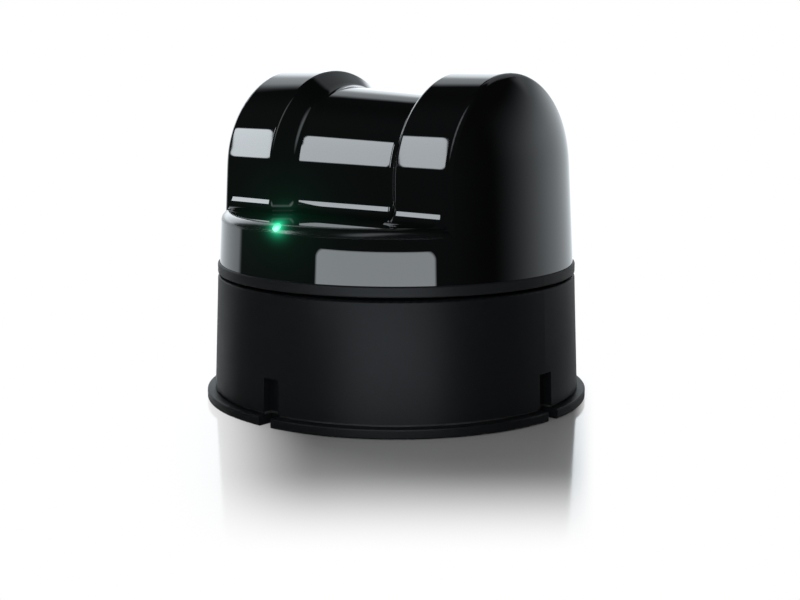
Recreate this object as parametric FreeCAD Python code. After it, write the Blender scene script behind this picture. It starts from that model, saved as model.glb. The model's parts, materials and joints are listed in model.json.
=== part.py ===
import FreeCAD, Part
import math
import os

Vector = FreeCAD.Vector

# Compact scanning lidar. A fixed drum base carries a head that spins about Z, and a slanted
# mirror spins about X inside the head. Millimetres, origin at the centre of the base's underside,
# +Z up, the status light at the front (-Y) and the data socket at the rear (+Y).

# Base plate and housing
FLANGE_RADIUS = 37.5
FLANGE_THICKNESS = 1.8
FLANGE_EDGE = 0.3
FLANGE_MARGIN = 1.6
SPIGOT_RISE = 1.2
GASKET_THICKNESS = 0.4
GASKET_SETBACK = 0.5
HOUSING_FLARE = 0.9
HOUSING_HEIGHT = 22.0
HOUSING_WALL = 2.2
HOUSING_EDGE = 0.4
LIP_WIDTH = 1.8
LIP_THICKNESS = 1.4
KEYWAY_WIDTH = 3.7
FLANGE_NOTCH_WIDTH = 2.9
KEYWAY_HEIGHT = 8.6
KEYWAY_DEPTH = 2.0
KEYWAY_ANGLES = (180.0, 270.0, 0.0)

# Fixing holes
MOUNT_CIRCLE_RADIUS = 25.0
MOUNT_HOLE_RADIUS = 1.25
MOUNT_HOLE_DEPTH = 4.0
MOUNT_HOLE_CAP = 0.8
MOUNT_BOSS_RADIUS = 3.5
MOUNT_ANGLES = (45.0, 135.0, 225.0, 315.0)
HOUSING_BOSS_RADIUS = 2.4
HOUSING_BOSS_HEIGHT = 7.5
HOUSING_BOSS_OVERLAP = 0.3
HOUSING_BOSS_ANGLES = (30.0, 150.0, 210.0, 330.0)

# Head shell
RUNNING_GAP = 0.5
BAND_HEIGHT = 2.0
BAND_EDGE = 0.3
SHELL_STEP = 0.4
SHELL_WALL = 1.5
SHELL_DRAFT = 3.2
SKIRT_HEIGHT = 9.9
RIM_RADIUS = 1.8
MIRROR_AXIS_HEIGHT = 17.3
ARCH_RADIUS = 19.3
TOWER_EDGE_X = 15.5
DRUM_END_X = 12.0
DRUM_LEFT_RADIUS = 16.2
DRUM_RIGHT_RADIUS = 14.8
TOWER_EDGE_RADIUS = 1.0
DRUM_BLEND_RADIUS = 3.0
END_EDGE_RADIUS = 1.6
LEDGE_BLEND_RADIUS = 2.7
LEDGE_BLEND_LEAN = 17.0
LEAST_ROUNDING = 0.3
SHELL_BOSS_SETBACK = 7.6
SHELL_BOSS_RADIUS = 2.4
SHELL_BOSS_ANGLES = (45.0, 135.0, 225.0, 315.0)
LOCATING_RING_WIDTH = 1.2
LOCATING_RING_HEIGHT = 1.5

# Spindle and its bearings
SPINDLE_WALL = 2.4
SPINDLE_FLANGE_WIDTH = 4.0
SPINDLE_FLANGE_THICKNESS = 1.6
SPINDLE_COLLAR_HEIGHT = 1.4
SPINDLE_TAIL = 1.4
BEARING_OUTER_RADIUS = 7.5
BEARING_WIDTH = 4.0
BEARING_RING = 0.9
BEARING_RACE_GAP = 0.65
CLIP_THICKNESS = 0.8
CLIP_GROOVE = 0.3
CLIP_OPENING = 4.8
HUB_WALL = 1.5
HUB_SHOULDER = 1.2
HUB_FLOOR = 1.4
HUB_RECESS_HEIGHT = 3.2

# Head motor
STATOR_TEETH = 12
STATOR_STANDOFF = 3.7
STATOR_YOKE = 2.6
STATOR_SHOE = 1.2
STATOR_SLOT_OPENING = 1.8
TOOTH_WIDTH = 2.2
WINDING_BUILD = 1.3
WINDING_EDGE = 0.9
WINDING_END_GAP = 0.4
AIR_GAP = 0.6
MAGNET_COUNT = 14
MAGNET_THICKNESS = 1.8
MAGNET_SPACING = 3.0
MAGNET_OVERHANG = 0.5
ROTOR_YOKE_WALL = 1.8

# Power transfer, data link and encoder
CARRIER_WALL = 1.5
CARRIER_NECK = 2.2
CARRIER_DISC = 1.2
FERRITE_THICKNESS = 1.0
FERRITE_HUB_GAP = 1.15
FERRITE_YOKE_GAP = 3.05
COIL_THICKNESS = 1.0
COIL_INSET = 0.6
COIL_GAP = 1.0
LINK_RADIUS = 1.8
LINK_HEIGHT = 1.2
DISC_CLEARANCE = 0.7
DISC_THICKNESS = 0.6
DISC_WINDOWS = 30
DISC_WINDOW_WIDTH = 1.4
DISC_WINDOW_LENGTH = 1.8
DISC_RIM = 0.6
FORK_ARM = 2.0
FORK_REACH = 2.8
FORK_YOKE_GAP = 0.8
FORK_WIDTH = 6.0
FORK_BACK = 2.6
FORK_ANGLE = 60.0

# Boards
BOARD_THICKNESS = 1.4
BOARD_CLEARANCE = 0.4
BOARD_POST_RADIUS = 2.2
BOARD_POST_ANGLES = (0.0, 90.0, 180.0, 270.0)
CHIP_HEIGHT = 1.2
CHIP_LARGE = 7.0
CHIP_SMALL = 4.8
MAIN_CHIP_ANGLES = (135.0, 315.0)
PROCESSOR_ANGLE = 225.0
ROTOR_CHIP_RADIUS = 11.5
ROTOR_CHIP_ANGLES = (210.0, 330.0)
ROTOR_PROCESSOR_ANGLE = 90.0
CAPACITOR_RADIUS = 1.6
CAPACITOR_HEIGHT = 1.9
CAPACITOR_PITCH = 4.0
CAPACITOR_ANGLE = 180.0
ROTOR_BOARD_CLEARANCE = 1.0
ROTOR_BOARD_THICKNESS = 1.2
ROTOR_BOARD_RISE = 1.6
ROTOR_BOARD_HEADROOM = 0.5
ROTOR_RIB_RADIUS = 12.0
ROTOR_RIB_WIDTH = 1.2
RANGING_BOARD_MARGIN = 2.0
RANGING_BOARD_CLEARANCE = 3.7
FLEX_THICKNESS = 0.25
FLEX_WIDTH = 6.0
FLEX_LAP = 5.0
FLEX_NOTCH_MARGIN = 1.5

# Data socket
SOCKET_WIDTH = 14.4
SOCKET_HEIGHT = 7.0
SOCKET_DEPTH = 6.2
SOCKET_WALL = 1.0
SOCKET_RECESS = 0.3
SOCKET_CLEARANCE = 0.2
CONTACT_COUNT = 8
CONTACT_PITCH = 1.4
CONTACT_WIDTH = 0.6
CONTACT_HEIGHT = 0.4
CONTACT_LENGTH = 4.2

# Optics frame and optics
FRAME_FLOOR = 1.5
FRAME_WALL = 2.5
FRAME_RIM = 3.5
FRAME_POST_Y = 9.0
FRAME_POST_RADIUS = 2.5
OPTICS_INSET = 0.5
OPTICS_NOSE = 2.5
OPTICS_FLANGE_THICKNESS = 1.5
OPTICS_SCREW_COUNT = 3
TRANSMIT_LENS_RADIUS = 2.4
LENS_RIM = 1.0
LENS_WEB = 0.8
LENS_EDGE = 1.2
LENS_LIP = 0.5
LENS_SETBACK = 0.3
LENS_BULGE_SHARE = 0.17
LASER_LENGTH = 3.0
DETECTOR_RADIUS = 2.2
DETECTOR_LENGTH = 1.7

# Mirror and its motor
MIRROR_RUNNING_CLEARANCE = 0.8
MIRROR_CENTRE_X = -2.0
MIRROR_TILT = 45.0
MIRROR_GLASS = 1.2
MIRROR_GLASS_INSET = 0.5
MIRROR_NECK = 3.0
MIRROR_OPTICS_GAP = 1.0
SHAFT_RADIUS = 1.5
SHAFT_ENGAGEMENT = 7.0
MOTOR_STANDOFF = 2.5
MOTOR_INSET = 1.0
MOTOR_CLEARANCE = 1.5
MOTOR_WALL = 1.0
MOTOR_FRONT = 1.6
MOTOR_CAP = 2.0
MOTOR_CAP_SPIGOT = 0.8
MOTOR_SCREW_COUNT = 3
MOTOR_BOSS_WALL = 1.2
MOTOR_TEETH = 6
MOTOR_STACK_SETBACK = 1.8
MOTOR_STACK_END_GAP = 1.3
MOTOR_CORE_YOKE = 1.4
MOTOR_TOOTH_WIDTH = 1.6
MOTOR_TOOTH_LENGTH = 2.2
MOTOR_WINDING_BUILD = 0.6
SMALL_BEARING_OUTER = 3.0
SMALL_BEARING_WIDTH = 2.5
SMALL_BEARING_RING = 0.55

# Status light
LIGHT_PIPE_RADIUS = 0.85
LIGHT_PIPE_PROUD = 0.12
LED_SIZE = 1.4
LED_HEIGHT = 0.7
LED_GAP = 0.3
LED_TAB_WIDTH = 6.0
LED_TAB_MARGIN = 1.6

# Screws
SCREW_RADIUS = 1.0
SCREW_HEAD_RADIUS = 1.9
SCREW_HEAD_HEIGHT = 1.2
SCREW_GRIP = 4.5
SMALL_SCREW_RADIUS = 0.7
SMALL_SCREW_HEAD_RADIUS = 1.3
SMALL_SCREW_HEAD_HEIGHT = 1.0
SMALL_SCREW_GRIP = 1.4
HEX_SOCKET_RADIUS = 1.0
HEX_SOCKET_DEPTH = 0.7
HEAD_RECESS = 0.2

# Clearances
SEAT_CLEARANCE = 0.05
SCREW_CLEARANCE = 0.2
PASS_CLEARANCE = 0.5
LABYRINTH_GAP = 0.6
LABYRINTH_DEPTH = 2.2
LABYRINTH_WIDTH = 1.0
CUT_MARGIN = 1.0
MATCH_TOLERANCE = 0.01

# Heights up the base, from the underside
Z_HOUSING = FLANGE_THICKNESS + GASKET_THICKNESS
Z_PLATE_TOP = Z_HOUSING + SPIGOT_RISE
Z_HOUSING_TOP = Z_HOUSING + HOUSING_HEIGHT
Z_TABLE = Z_HOUSING_TOP + RUNNING_GAP
Z_TABLE_TOP = Z_TABLE + BAND_HEIGHT
Z_LOWER_BEARING = HUB_FLOOR + HUB_RECESS_HEIGHT
Z_HUB_TOP = Z_TABLE - SPINDLE_FLANGE_THICKNESS - SPINDLE_COLLAR_HEIGHT
Z_UPPER_BEARING = Z_HUB_TOP - BEARING_WIDTH
Z_BOARD = MOUNT_HOLE_DEPTH + MOUNT_HOLE_CAP + BOARD_CLEARANCE
Z_BOARD_TOP = Z_BOARD + BOARD_THICKNESS
Z_STATOR = Z_BOARD_TOP + STATOR_STANDOFF
Z_ROTOR_YOKE = Z_STATOR - MAGNET_OVERHANG
Z_DISC = Z_ROTOR_YOKE - DISC_THICKNESS

# Heights down from the turntable's underside
Z_UPPER_COIL = Z_TABLE - FERRITE_THICKNESS - COIL_THICKNESS
Z_LOWER_FERRITE = Z_UPPER_COIL - COIL_GAP - COIL_THICKNESS - FERRITE_THICKNESS
Z_CARRIER_DISC = Z_LOWER_FERRITE - CARRIER_DISC
Z_STATOR_TOP = Z_CARRIER_DISC - CARRIER_NECK

# Heights up the head
Z_LEDGE = Z_TABLE_TOP + SKIRT_HEIGHT
Z_AXIS = Z_TABLE_TOP + MIRROR_AXIS_HEIGHT
Z_ROTOR_BOARD = Z_TABLE_TOP + ROTOR_BOARD_RISE
Z_ROTOR_BOARD_TOP = Z_ROTOR_BOARD + ROTOR_BOARD_THICKNESS
Z_FRAME = Z_ROTOR_BOARD_TOP + CHIP_HEIGHT + ROTOR_BOARD_HEADROOM
Z_FRAME_TOP = Z_FRAME + FRAME_FLOOR

# Radii that follow from the driving ones
HOUSING_FOOT_RADIUS = FLANGE_RADIUS - FLANGE_MARGIN
HOUSING_TOP_RADIUS = HOUSING_FOOT_RADIUS - HOUSING_FLARE
HOUSING_INNER_RADIUS = HOUSING_TOP_RADIUS - HOUSING_WALL
SPIGOT_RADIUS = HOUSING_INNER_RADIUS - SEAT_CLEARANCE
LIP_INNER_RADIUS = HOUSING_INNER_RADIUS - LIP_WIDTH
HOUSING_BOSS_CIRCLE = HOUSING_INNER_RADIUS - HOUSING_BOSS_RADIUS + HOUSING_BOSS_OVERLAP
SPINDLE_RADIUS = BEARING_OUTER_RADIUS - 2 * BEARING_RING - BEARING_RACE_GAP - SEAT_CLEARANCE
SPINDLE_BORE_RADIUS = SPINDLE_RADIUS - SPINDLE_WALL
SPINDLE_FLANGE_RADIUS = SPINDLE_RADIUS + SPINDLE_FLANGE_WIDTH
HUB_RADIUS = BEARING_OUTER_RADIUS + SEAT_CLEARANCE + HUB_WALL
HUB_SHOULDER_RADIUS = HUB_RADIUS + HUB_SHOULDER
SOCKET_FRONT_Y = math.sqrt(HOUSING_TOP_RADIUS ** 2 - (SOCKET_WIDTH / 2) ** 2) - SOCKET_RECESS
SOCKET_BACK_Y = SOCKET_FRONT_Y - SOCKET_DEPTH
DISC_RADIUS = SOCKET_BACK_Y - DISC_CLEARANCE
YOKE_OUTER_RADIUS = DISC_RADIUS - FORK_REACH - FORK_YOKE_GAP
YOKE_INNER_RADIUS = YOKE_OUTER_RADIUS - ROTOR_YOKE_WALL
MAGNET_OUTER_RADIUS = YOKE_INNER_RADIUS - SEAT_CLEARANCE
MAGNET_INNER_RADIUS = MAGNET_OUTER_RADIUS - MAGNET_THICKNESS
STATOR_RADIUS = MAGNET_INNER_RADIUS - AIR_GAP
FERRITE_INNER_RADIUS = HUB_RADIUS + FERRITE_HUB_GAP
FERRITE_OUTER_RADIUS = YOKE_INNER_RADIUS - FERRITE_YOKE_GAP
BOARD_MIDDLE_RADIUS = (HUB_SHOULDER_RADIUS + HOUSING_INNER_RADIUS) / 2
SHELL_FOOT_RADIUS = HOUSING_TOP_RADIUS - SHELL_STEP
DRAFT = math.radians(SHELL_DRAFT)
LOCATING_RING_RADIUS = (SHELL_FOOT_RADIUS - SHELL_WALL / math.cos(DRAFT)
                        - LOCATING_RING_HEIGHT * math.tan(DRAFT) - SEAT_CLEARANCE)
DOME_RADIUS = SHELL_FOOT_RADIUS * math.cos(DRAFT) - MIRROR_AXIS_HEIGHT * math.sin(DRAFT)
CAVITY_RADIUS = DOME_RADIUS - SHELL_WALL
SHELL_BOSS_CIRCLE = SHELL_FOOT_RADIUS - SHELL_BOSS_SETBACK
ROTOR_BOARD_RADIUS = SHELL_BOSS_CIRCLE - SHELL_BOSS_RADIUS - ROTOR_BOARD_CLEARANCE
MIRROR_RADIUS = Z_AXIS - Z_FRAME_TOP - MIRROR_RUNNING_CLEARANCE
OPTICS_RADIUS = MIRROR_RADIUS - OPTICS_INSET
UPRIGHT_RADIUS = OPTICS_RADIUS + FRAME_RIM
RANGING_BOARD_RADIUS = OPTICS_RADIUS + RANGING_BOARD_MARGIN
RECEIVE_LENS_RADIUS = OPTICS_RADIUS - LENS_RIM - LENS_WEB / 2 - TRANSMIT_LENS_RADIUS
RECEIVE_OFFSET = LENS_RIM + RECEIVE_LENS_RADIUS - OPTICS_RADIUS
TRANSMIT_OFFSET = OPTICS_RADIUS - LENS_RIM - TRANSMIT_LENS_RADIUS
MOTOR_RADIUS = MIRROR_RADIUS - MOTOR_INSET
MOTOR_BORE_RADIUS = MOTOR_RADIUS - MOTOR_WALL
MOTOR_TOOTH_TIP_RADIUS = MOTOR_BORE_RADIUS - SEAT_CLEARANCE - MOTOR_CORE_YOKE - MOTOR_TOOTH_LENGTH
MOTOR_MAGNET_RADIUS = MOTOR_TOOTH_TIP_RADIUS - AIR_GAP

# Places along the mirror axis
OPTICS_FACE_X = MIRROR_CENTRE_X - MIRROR_RADIUS - MIRROR_OPTICS_GAP
OPTICS_FLANGE_X = OPTICS_FACE_X - OPTICS_NOSE
OPTICS_SEAT_X = OPTICS_FLANGE_X - OPTICS_FLANGE_THICKNESS
CHEEK_X = OPTICS_SEAT_X - FRAME_WALL
FRAME_POST_X = SMALL_SCREW_HEAD_RADIUS + PASS_CLEARANCE - CHEEK_X
RANGING_BOARD_X = -math.sqrt((CAVITY_RADIUS - RANGING_BOARD_CLEARANCE) ** 2 - RANGING_BOARD_RADIUS ** 2)
OPTICS_BACK_X = RANGING_BOARD_X + ROTOR_BOARD_THICKNESS
MIRROR_BACK_X = MIRROR_CENTRE_X + MIRROR_RADIUS + MIRROR_NECK
MOTOR_UPRIGHT_X = MIRROR_BACK_X + MOTOR_STANDOFF
MOTOR_FACE_X = MOTOR_UPRIGHT_X + FRAME_WALL
MOTOR_CAP_X = math.sqrt((CAVITY_RADIUS - MOTOR_CLEARANCE) ** 2 - MOTOR_RADIUS ** 2)
MOTOR_END_X = MOTOR_CAP_X - MOTOR_CAP
MOTOR_BOSS_RADIUS = SMALL_BEARING_OUTER + SEAT_CLEARANCE + MOTOR_BOSS_WALL
REAR_BEARING_X = MOTOR_END_X - MOTOR_CAP_SPIGOT
MOTOR_STACK_X = MOTOR_FACE_X + MOTOR_FRONT + MOTOR_STACK_SETBACK
MOTOR_STACK = REAR_BEARING_X - MOTOR_STACK_END_GAP - MOTOR_STACK_X
SHAFT_START_X = MIRROR_BACK_X - SHAFT_ENGAGEMENT
SHAFT_END_X = REAR_BEARING_X + SMALL_BEARING_WIDTH

# Centre of the shell rim's rounding, in the front half-plane, and the light pipe's low end
RIM_CENTRE_Z = Z_LEDGE - RIM_RADIUS
RIM_CENTRE_RADIUS = (SHELL_FOOT_RADIUS - (RIM_CENTRE_Z - Z_TABLE_TOP) * math.tan(DRAFT)
                     - RIM_RADIUS / math.cos(DRAFT))
LIGHT_PIPE_Z = Z_ROTOR_BOARD_TOP + LED_HEIGHT + LED_GAP + LIGHT_PIPE_RADIUS * math.sin(math.pi / 4)
LED_Y = -(RIM_CENTRE_RADIUS - (RIM_CENTRE_Z - LIGHT_PIPE_Z))

X_DIRECTION = Vector(1, 0, 0)
Z_DIRECTION = Vector(0, 0, 1)
AXIS_POINT = Vector(0, 0, Z_AXIS)


def polar(radius, angle, z=0.0):
    turn = math.radians(angle)
    return Vector(radius * math.cos(turn), radius * math.sin(turn), z)


def turned(shape, angle):
    copy = shape.copy()
    copy.rotate(Vector(0, 0, 0), Z_DIRECTION, angle)
    return copy


def turned_about_mirror_axis(shape, angle):
    copy = shape.copy()
    copy.rotate(AXIS_POINT, X_DIRECTION, angle)
    return copy


def box(x0, x1, y0, y1, z0, z1):
    return Part.makeBox(x1 - x0, y1 - y0, z1 - z0, Vector(x0, y0, z0))


def disc(radius, z0, z1, x=0.0, y=0.0):
    return Part.makeCylinder(radius, z1 - z0, Vector(x, y, z0))


def ring(inner, outer, z0, z1):
    return disc(outer, z0, z1).cut(disc(inner, z0 - CUT_MARGIN, z1 + CUT_MARGIN))


def axle_disc(radius, x0, x1, y=0.0, z=Z_AXIS):
    return Part.makeCylinder(radius, x1 - x0, Vector(x0, y, z), X_DIRECTION)


def axle_ring(inner, outer, x0, x1, z=Z_AXIS):
    return axle_disc(outer, x0, x1, 0.0, z).cut(
        axle_disc(inner, x0 - CUT_MARGIN, x1 + CUT_MARGIN, 0.0, z))


def joined(shapes):
    return shapes[0].multiFuse(shapes[1:]).removeSplitter()


def group(solids):
    return Part.makeCompound(solids)


def rounded_edges(corners, closed):
    """Edges through (point, radius) corners, each corner rounded by a tangent arc of its radius."""
    starts = []
    ends = []
    arcs = []
    count = len(corners)
    for index, (corner, radius) in enumerate(corners):
        start = corner
        end = corner
        arc = None
        if radius:
            before = (corners[index - 1][0] - corner).normalize()
            after = (corners[(index + 1) % count][0] - corner).normalize()
            half = before.getAngle(after) / 2.0
            start = corner + before * (radius / math.tan(half))
            end = corner + after * (radius / math.tan(half))
            middle = corner + (before + after).normalize() * (radius / math.sin(half) - radius)
            arc = Part.Arc(start, middle, end).toShape()
        starts.append(start)
        ends.append(end)
        arcs.append(arc)
    edges = []
    for index in range(count):
        if arcs[index]:
            edges.append(arcs[index])
        if closed or index < count - 1:
            edges.append(Part.LineSegment(ends[index], starts[(index + 1) % count]).toShape())
    return edges


def outline(corners):
    """Closed wire round the corners."""
    return Part.Wire(rounded_edges(corners, True))


def turned_profile(corners):
    """Solid turned about Z from (radius, z, rounding) corners."""
    points = [(Vector(radius, 0, z), rounding) for radius, z, rounding in corners]
    return Part.Face(outline(points)).revolve(Vector(0, 0, 0), Z_DIRECTION, 360)


def axle_profile(corners, z=Z_AXIS):
    """Solid turned about an X-wise axis at height z from (x, radius, rounding) corners."""
    points = [(Vector(x, radius, z), rounding) for x, radius, rounding in corners]
    return Part.Face(outline(points)).revolve(Vector(0, 0, z), X_DIRECTION, 360)


def screw(radius, head_radius, head_height, grip):
    """Screw with its head resting on z = 0 from above and its shank running down."""
    head = disc(head_radius, 0, head_height)
    hexagon = [polar(HEX_SOCKET_RADIUS * head_radius / SCREW_HEAD_RADIUS, 60.0 * side, head_height)
               for side in range(7)]
    socket = Part.Face(Part.makePolygon(hexagon)).extrude(Z_DIRECTION * -HEX_SOCKET_DEPTH)
    return head.fuse(disc(radius, -grip, 0)).removeSplitter().cut(socket)


def body_screw(grip):
    return screw(SCREW_RADIUS, SCREW_HEAD_RADIUS, SCREW_HEAD_HEIGHT, grip)


def small_screw(grip):
    return screw(SMALL_SCREW_RADIUS, SMALL_SCREW_HEAD_RADIUS, SMALL_SCREW_HEAD_HEIGHT, grip)


def placed(shape, place, axis=Z_DIRECTION):
    copy = shape.copy()
    copy.Placement = FreeCAD.Placement(place, FreeCAD.Rotation(Z_DIRECTION, axis))
    return copy


# Base


def keyways(width):
    """Upright slots in the base's wall, or the notches they run down to in the flange."""
    slot = box(HOUSING_FOOT_RADIUS - KEYWAY_DEPTH, FLANGE_RADIUS + CUT_MARGIN,
               -width / 2, width / 2, -CUT_MARGIN, KEYWAY_HEIGHT)
    return group([turned(slot, angle) for angle in KEYWAY_ANGLES])


def base_plate():
    plate = turned_profile([
        (0, 0, 0),
        (FLANGE_RADIUS, 0, FLANGE_EDGE),
        (FLANGE_RADIUS, FLANGE_THICKNESS, FLANGE_EDGE),
        (SPIGOT_RADIUS, FLANGE_THICKNESS, 0),
        (SPIGOT_RADIUS, Z_PLATE_TOP, 0),
        (HUB_SHOULDER_RADIUS, Z_PLATE_TOP, 0),
        (HUB_SHOULDER_RADIUS, Z_STATOR, 0),
        (HUB_RADIUS, Z_STATOR, 0),
        (HUB_RADIUS, Z_HUB_TOP, 0),
        (BEARING_OUTER_RADIUS + SEAT_CLEARANCE, Z_HUB_TOP, 0),
        (BEARING_OUTER_RADIUS + SEAT_CLEARANCE, Z_LOWER_BEARING, 0),
        (BEARING_OUTER_RADIUS - BEARING_RING, Z_LOWER_BEARING, 0),
        (BEARING_OUTER_RADIUS - BEARING_RING, HUB_FLOOR, 0),
        (0, HUB_FLOOR, 0)])
    bosses = []
    holes = []
    for angle in MOUNT_ANGLES:
        place = polar(MOUNT_CIRCLE_RADIUS, angle)
        bosses.append(disc(MOUNT_BOSS_RADIUS, FLANGE_THICKNESS, MOUNT_HOLE_DEPTH + MOUNT_HOLE_CAP,
                           place.x, place.y))
        holes.append(disc(MOUNT_HOLE_RADIUS, -CUT_MARGIN, MOUNT_HOLE_DEPTH, place.x, place.y))
    for angle in BOARD_POST_ANGLES:
        place = polar(BOARD_MIDDLE_RADIUS, angle)
        bosses.append(disc(BOARD_POST_RADIUS, FLANGE_THICKNESS, Z_BOARD, place.x, place.y))
        holes.append(disc(SMALL_SCREW_RADIUS + SEAT_CLEARANCE, Z_BOARD - SMALL_SCREW_GRIP - SEAT_CLEARANCE,
                          Z_BOARD + CUT_MARGIN, place.x, place.y))
    for angle in HOUSING_BOSS_ANGLES:
        place = polar(HOUSING_BOSS_CIRCLE, angle)
        holes.append(disc(SCREW_HEAD_RADIUS + SCREW_CLEARANCE, -CUT_MARGIN,
                          HEAD_RECESS + SCREW_HEAD_HEIGHT, place.x, place.y))
        holes.append(disc(SCREW_RADIUS + SCREW_CLEARANCE, -CUT_MARGIN, Z_PLATE_TOP + CUT_MARGIN,
                          place.x, place.y))
    return joined([plate] + bosses).cut(holes + [keyways(FLANGE_NOTCH_WIDTH)])


def base_gasket():
    seal = ring(HOUSING_INNER_RADIUS, HOUSING_FOOT_RADIUS - GASKET_SETBACK, FLANGE_THICKNESS, Z_HOUSING)
    return seal.cut(keyways(KEYWAY_WIDTH))


def base_housing():
    wall = turned_profile([
        (HOUSING_INNER_RADIUS, Z_HOUSING, 0),
        (HOUSING_FOOT_RADIUS, Z_HOUSING, 0),
        (HOUSING_TOP_RADIUS, Z_HOUSING_TOP, HOUSING_EDGE),
        (LIP_INNER_RADIUS, Z_HOUSING_TOP, 0),
        (LIP_INNER_RADIUS, Z_HOUSING_TOP - LIP_THICKNESS, 0),
        (HOUSING_INNER_RADIUS, Z_HOUSING_TOP - LIP_THICKNESS, 0)])
    bosses = []
    holes = []
    for angle in HOUSING_BOSS_ANGLES:
        place = polar(HOUSING_BOSS_CIRCLE, angle)
        bosses.append(disc(HOUSING_BOSS_RADIUS, Z_PLATE_TOP, Z_PLATE_TOP + HOUSING_BOSS_HEIGHT,
                           place.x, place.y))
        holes.append(disc(SCREW_RADIUS + SEAT_CLEARANCE, Z_PLATE_TOP - CUT_MARGIN,
                          Z_PLATE_TOP + SCREW_GRIP + SCREW_CLEARANCE, place.x, place.y))
    half_width = SOCKET_WIDTH / 2 + SOCKET_CLEARANCE
    window = box(-half_width, half_width, 0, HOUSING_FOOT_RADIUS + CUT_MARGIN,
                 Z_BOARD_TOP - SOCKET_CLEARANCE, Z_BOARD_TOP + SOCKET_HEIGHT + SOCKET_CLEARANCE)
    return joined([wall] + bosses).cut(holes + [keyways(KEYWAY_WIDTH), window])


def base_screws():
    grip = Z_PLATE_TOP - HEAD_RECESS - SCREW_HEAD_HEIGHT + SCREW_GRIP
    return group([
        placed(body_screw(grip), polar(HOUSING_BOSS_CIRCLE, angle, HEAD_RECESS + SCREW_HEAD_HEIGHT),
               Vector(0, 0, -1))
        for angle in HOUSING_BOSS_ANGLES])


def main_board():
    board = ring(HUB_SHOULDER_RADIUS + PASS_CLEARANCE, HOUSING_INNER_RADIUS - PASS_CLEARANCE,
                 Z_BOARD, Z_BOARD_TOP)
    cuts = []
    for angle in HOUSING_BOSS_ANGLES:
        place = polar(HOUSING_BOSS_CIRCLE, angle)
        cuts.append(disc(HOUSING_BOSS_RADIUS + PASS_CLEARANCE, Z_BOARD - CUT_MARGIN,
                         Z_BOARD_TOP + CUT_MARGIN, place.x, place.y))
    for angle in BOARD_POST_ANGLES:
        place = polar(BOARD_MIDDLE_RADIUS, angle)
        cuts.append(disc(SMALL_SCREW_RADIUS + SCREW_CLEARANCE, Z_BOARD - CUT_MARGIN,
                         Z_BOARD_TOP + CUT_MARGIN, place.x, place.y))
    return board.cut(cuts)


def main_board_screws():
    return group([
        placed(small_screw(BOARD_THICKNESS + SMALL_SCREW_GRIP),
               polar(BOARD_MIDDLE_RADIUS, angle, Z_BOARD_TOP))
        for angle in BOARD_POST_ANGLES])


def chip(size, z, circle, angle):
    """Square chip standing on a board at height z."""
    place = polar(circle, angle)
    half = size / 2
    return box(place.x - half, place.x + half, place.y - half, place.y + half, z, z + CHIP_HEIGHT)


def main_board_chips():
    processor = chip(CHIP_LARGE, Z_BOARD_TOP, BOARD_MIDDLE_RADIUS, PROCESSOR_ANGLE)
    others = [chip(CHIP_SMALL, Z_BOARD_TOP, BOARD_MIDDLE_RADIUS, angle) for angle in MAIN_CHIP_ANGLES]
    return group([processor] + others)


def main_board_capacitors():
    circle = (DISC_RADIUS + HOUSING_INNER_RADIUS) / 2
    pitch = math.degrees(CAPACITOR_PITCH / circle)
    places = [polar(circle, CAPACITOR_ANGLE + step * pitch) for step in (-1, 0, 1)]
    return group([disc(CAPACITOR_RADIUS, Z_BOARD_TOP, Z_BOARD_TOP + CAPACITOR_HEIGHT, place.x, place.y)
                  for place in places])


def io_socket():
    half = SOCKET_WIDTH / 2
    top = Z_BOARD_TOP + SOCKET_HEIGHT
    shell = box(-half, half, SOCKET_BACK_Y, SOCKET_FRONT_Y, Z_BOARD_TOP, top)
    mouth = box(-half + SOCKET_WALL, half - SOCKET_WALL, SOCKET_BACK_Y + SOCKET_WALL,
                SOCKET_FRONT_Y + CUT_MARGIN, Z_BOARD_TOP + SOCKET_WALL, top - SOCKET_WALL)
    return shell.cut(mouth)


def io_contacts():
    back = SOCKET_BACK_Y + SOCKET_WALL
    floor = Z_BOARD_TOP + SOCKET_WALL
    strips = []
    for index in range(CONTACT_COUNT):
        x = (index - (CONTACT_COUNT - 1) / 2) * CONTACT_PITCH
        strips.append(box(x - CONTACT_WIDTH / 2, x + CONTACT_WIDTH / 2, back, back + CONTACT_LENGTH,
                          floor, floor + CONTACT_HEIGHT))
    return group(strips)


def encoder_sensor():
    inner = DISC_RADIUS - FORK_REACH
    outer = DISC_RADIUS + PASS_CLEARANCE + FORK_BACK
    top = Z_DISC + DISC_THICKNESS + PASS_CLEARANCE
    fork = box(inner, outer, -FORK_WIDTH / 2, FORK_WIDTH / 2, Z_BOARD_TOP, top + FORK_ARM)
    throat = box(inner - CUT_MARGIN, DISC_RADIUS + PASS_CLEARANCE, -FORK_WIDTH, FORK_WIDTH,
                 Z_DISC - PASS_CLEARANCE, top)
    return turned(fork.cut(throat), FORK_ANGLE)


def link_emitter():
    return disc(LINK_RADIUS, HUB_FLOOR, HUB_FLOOR + LINK_HEIGHT)


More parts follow.
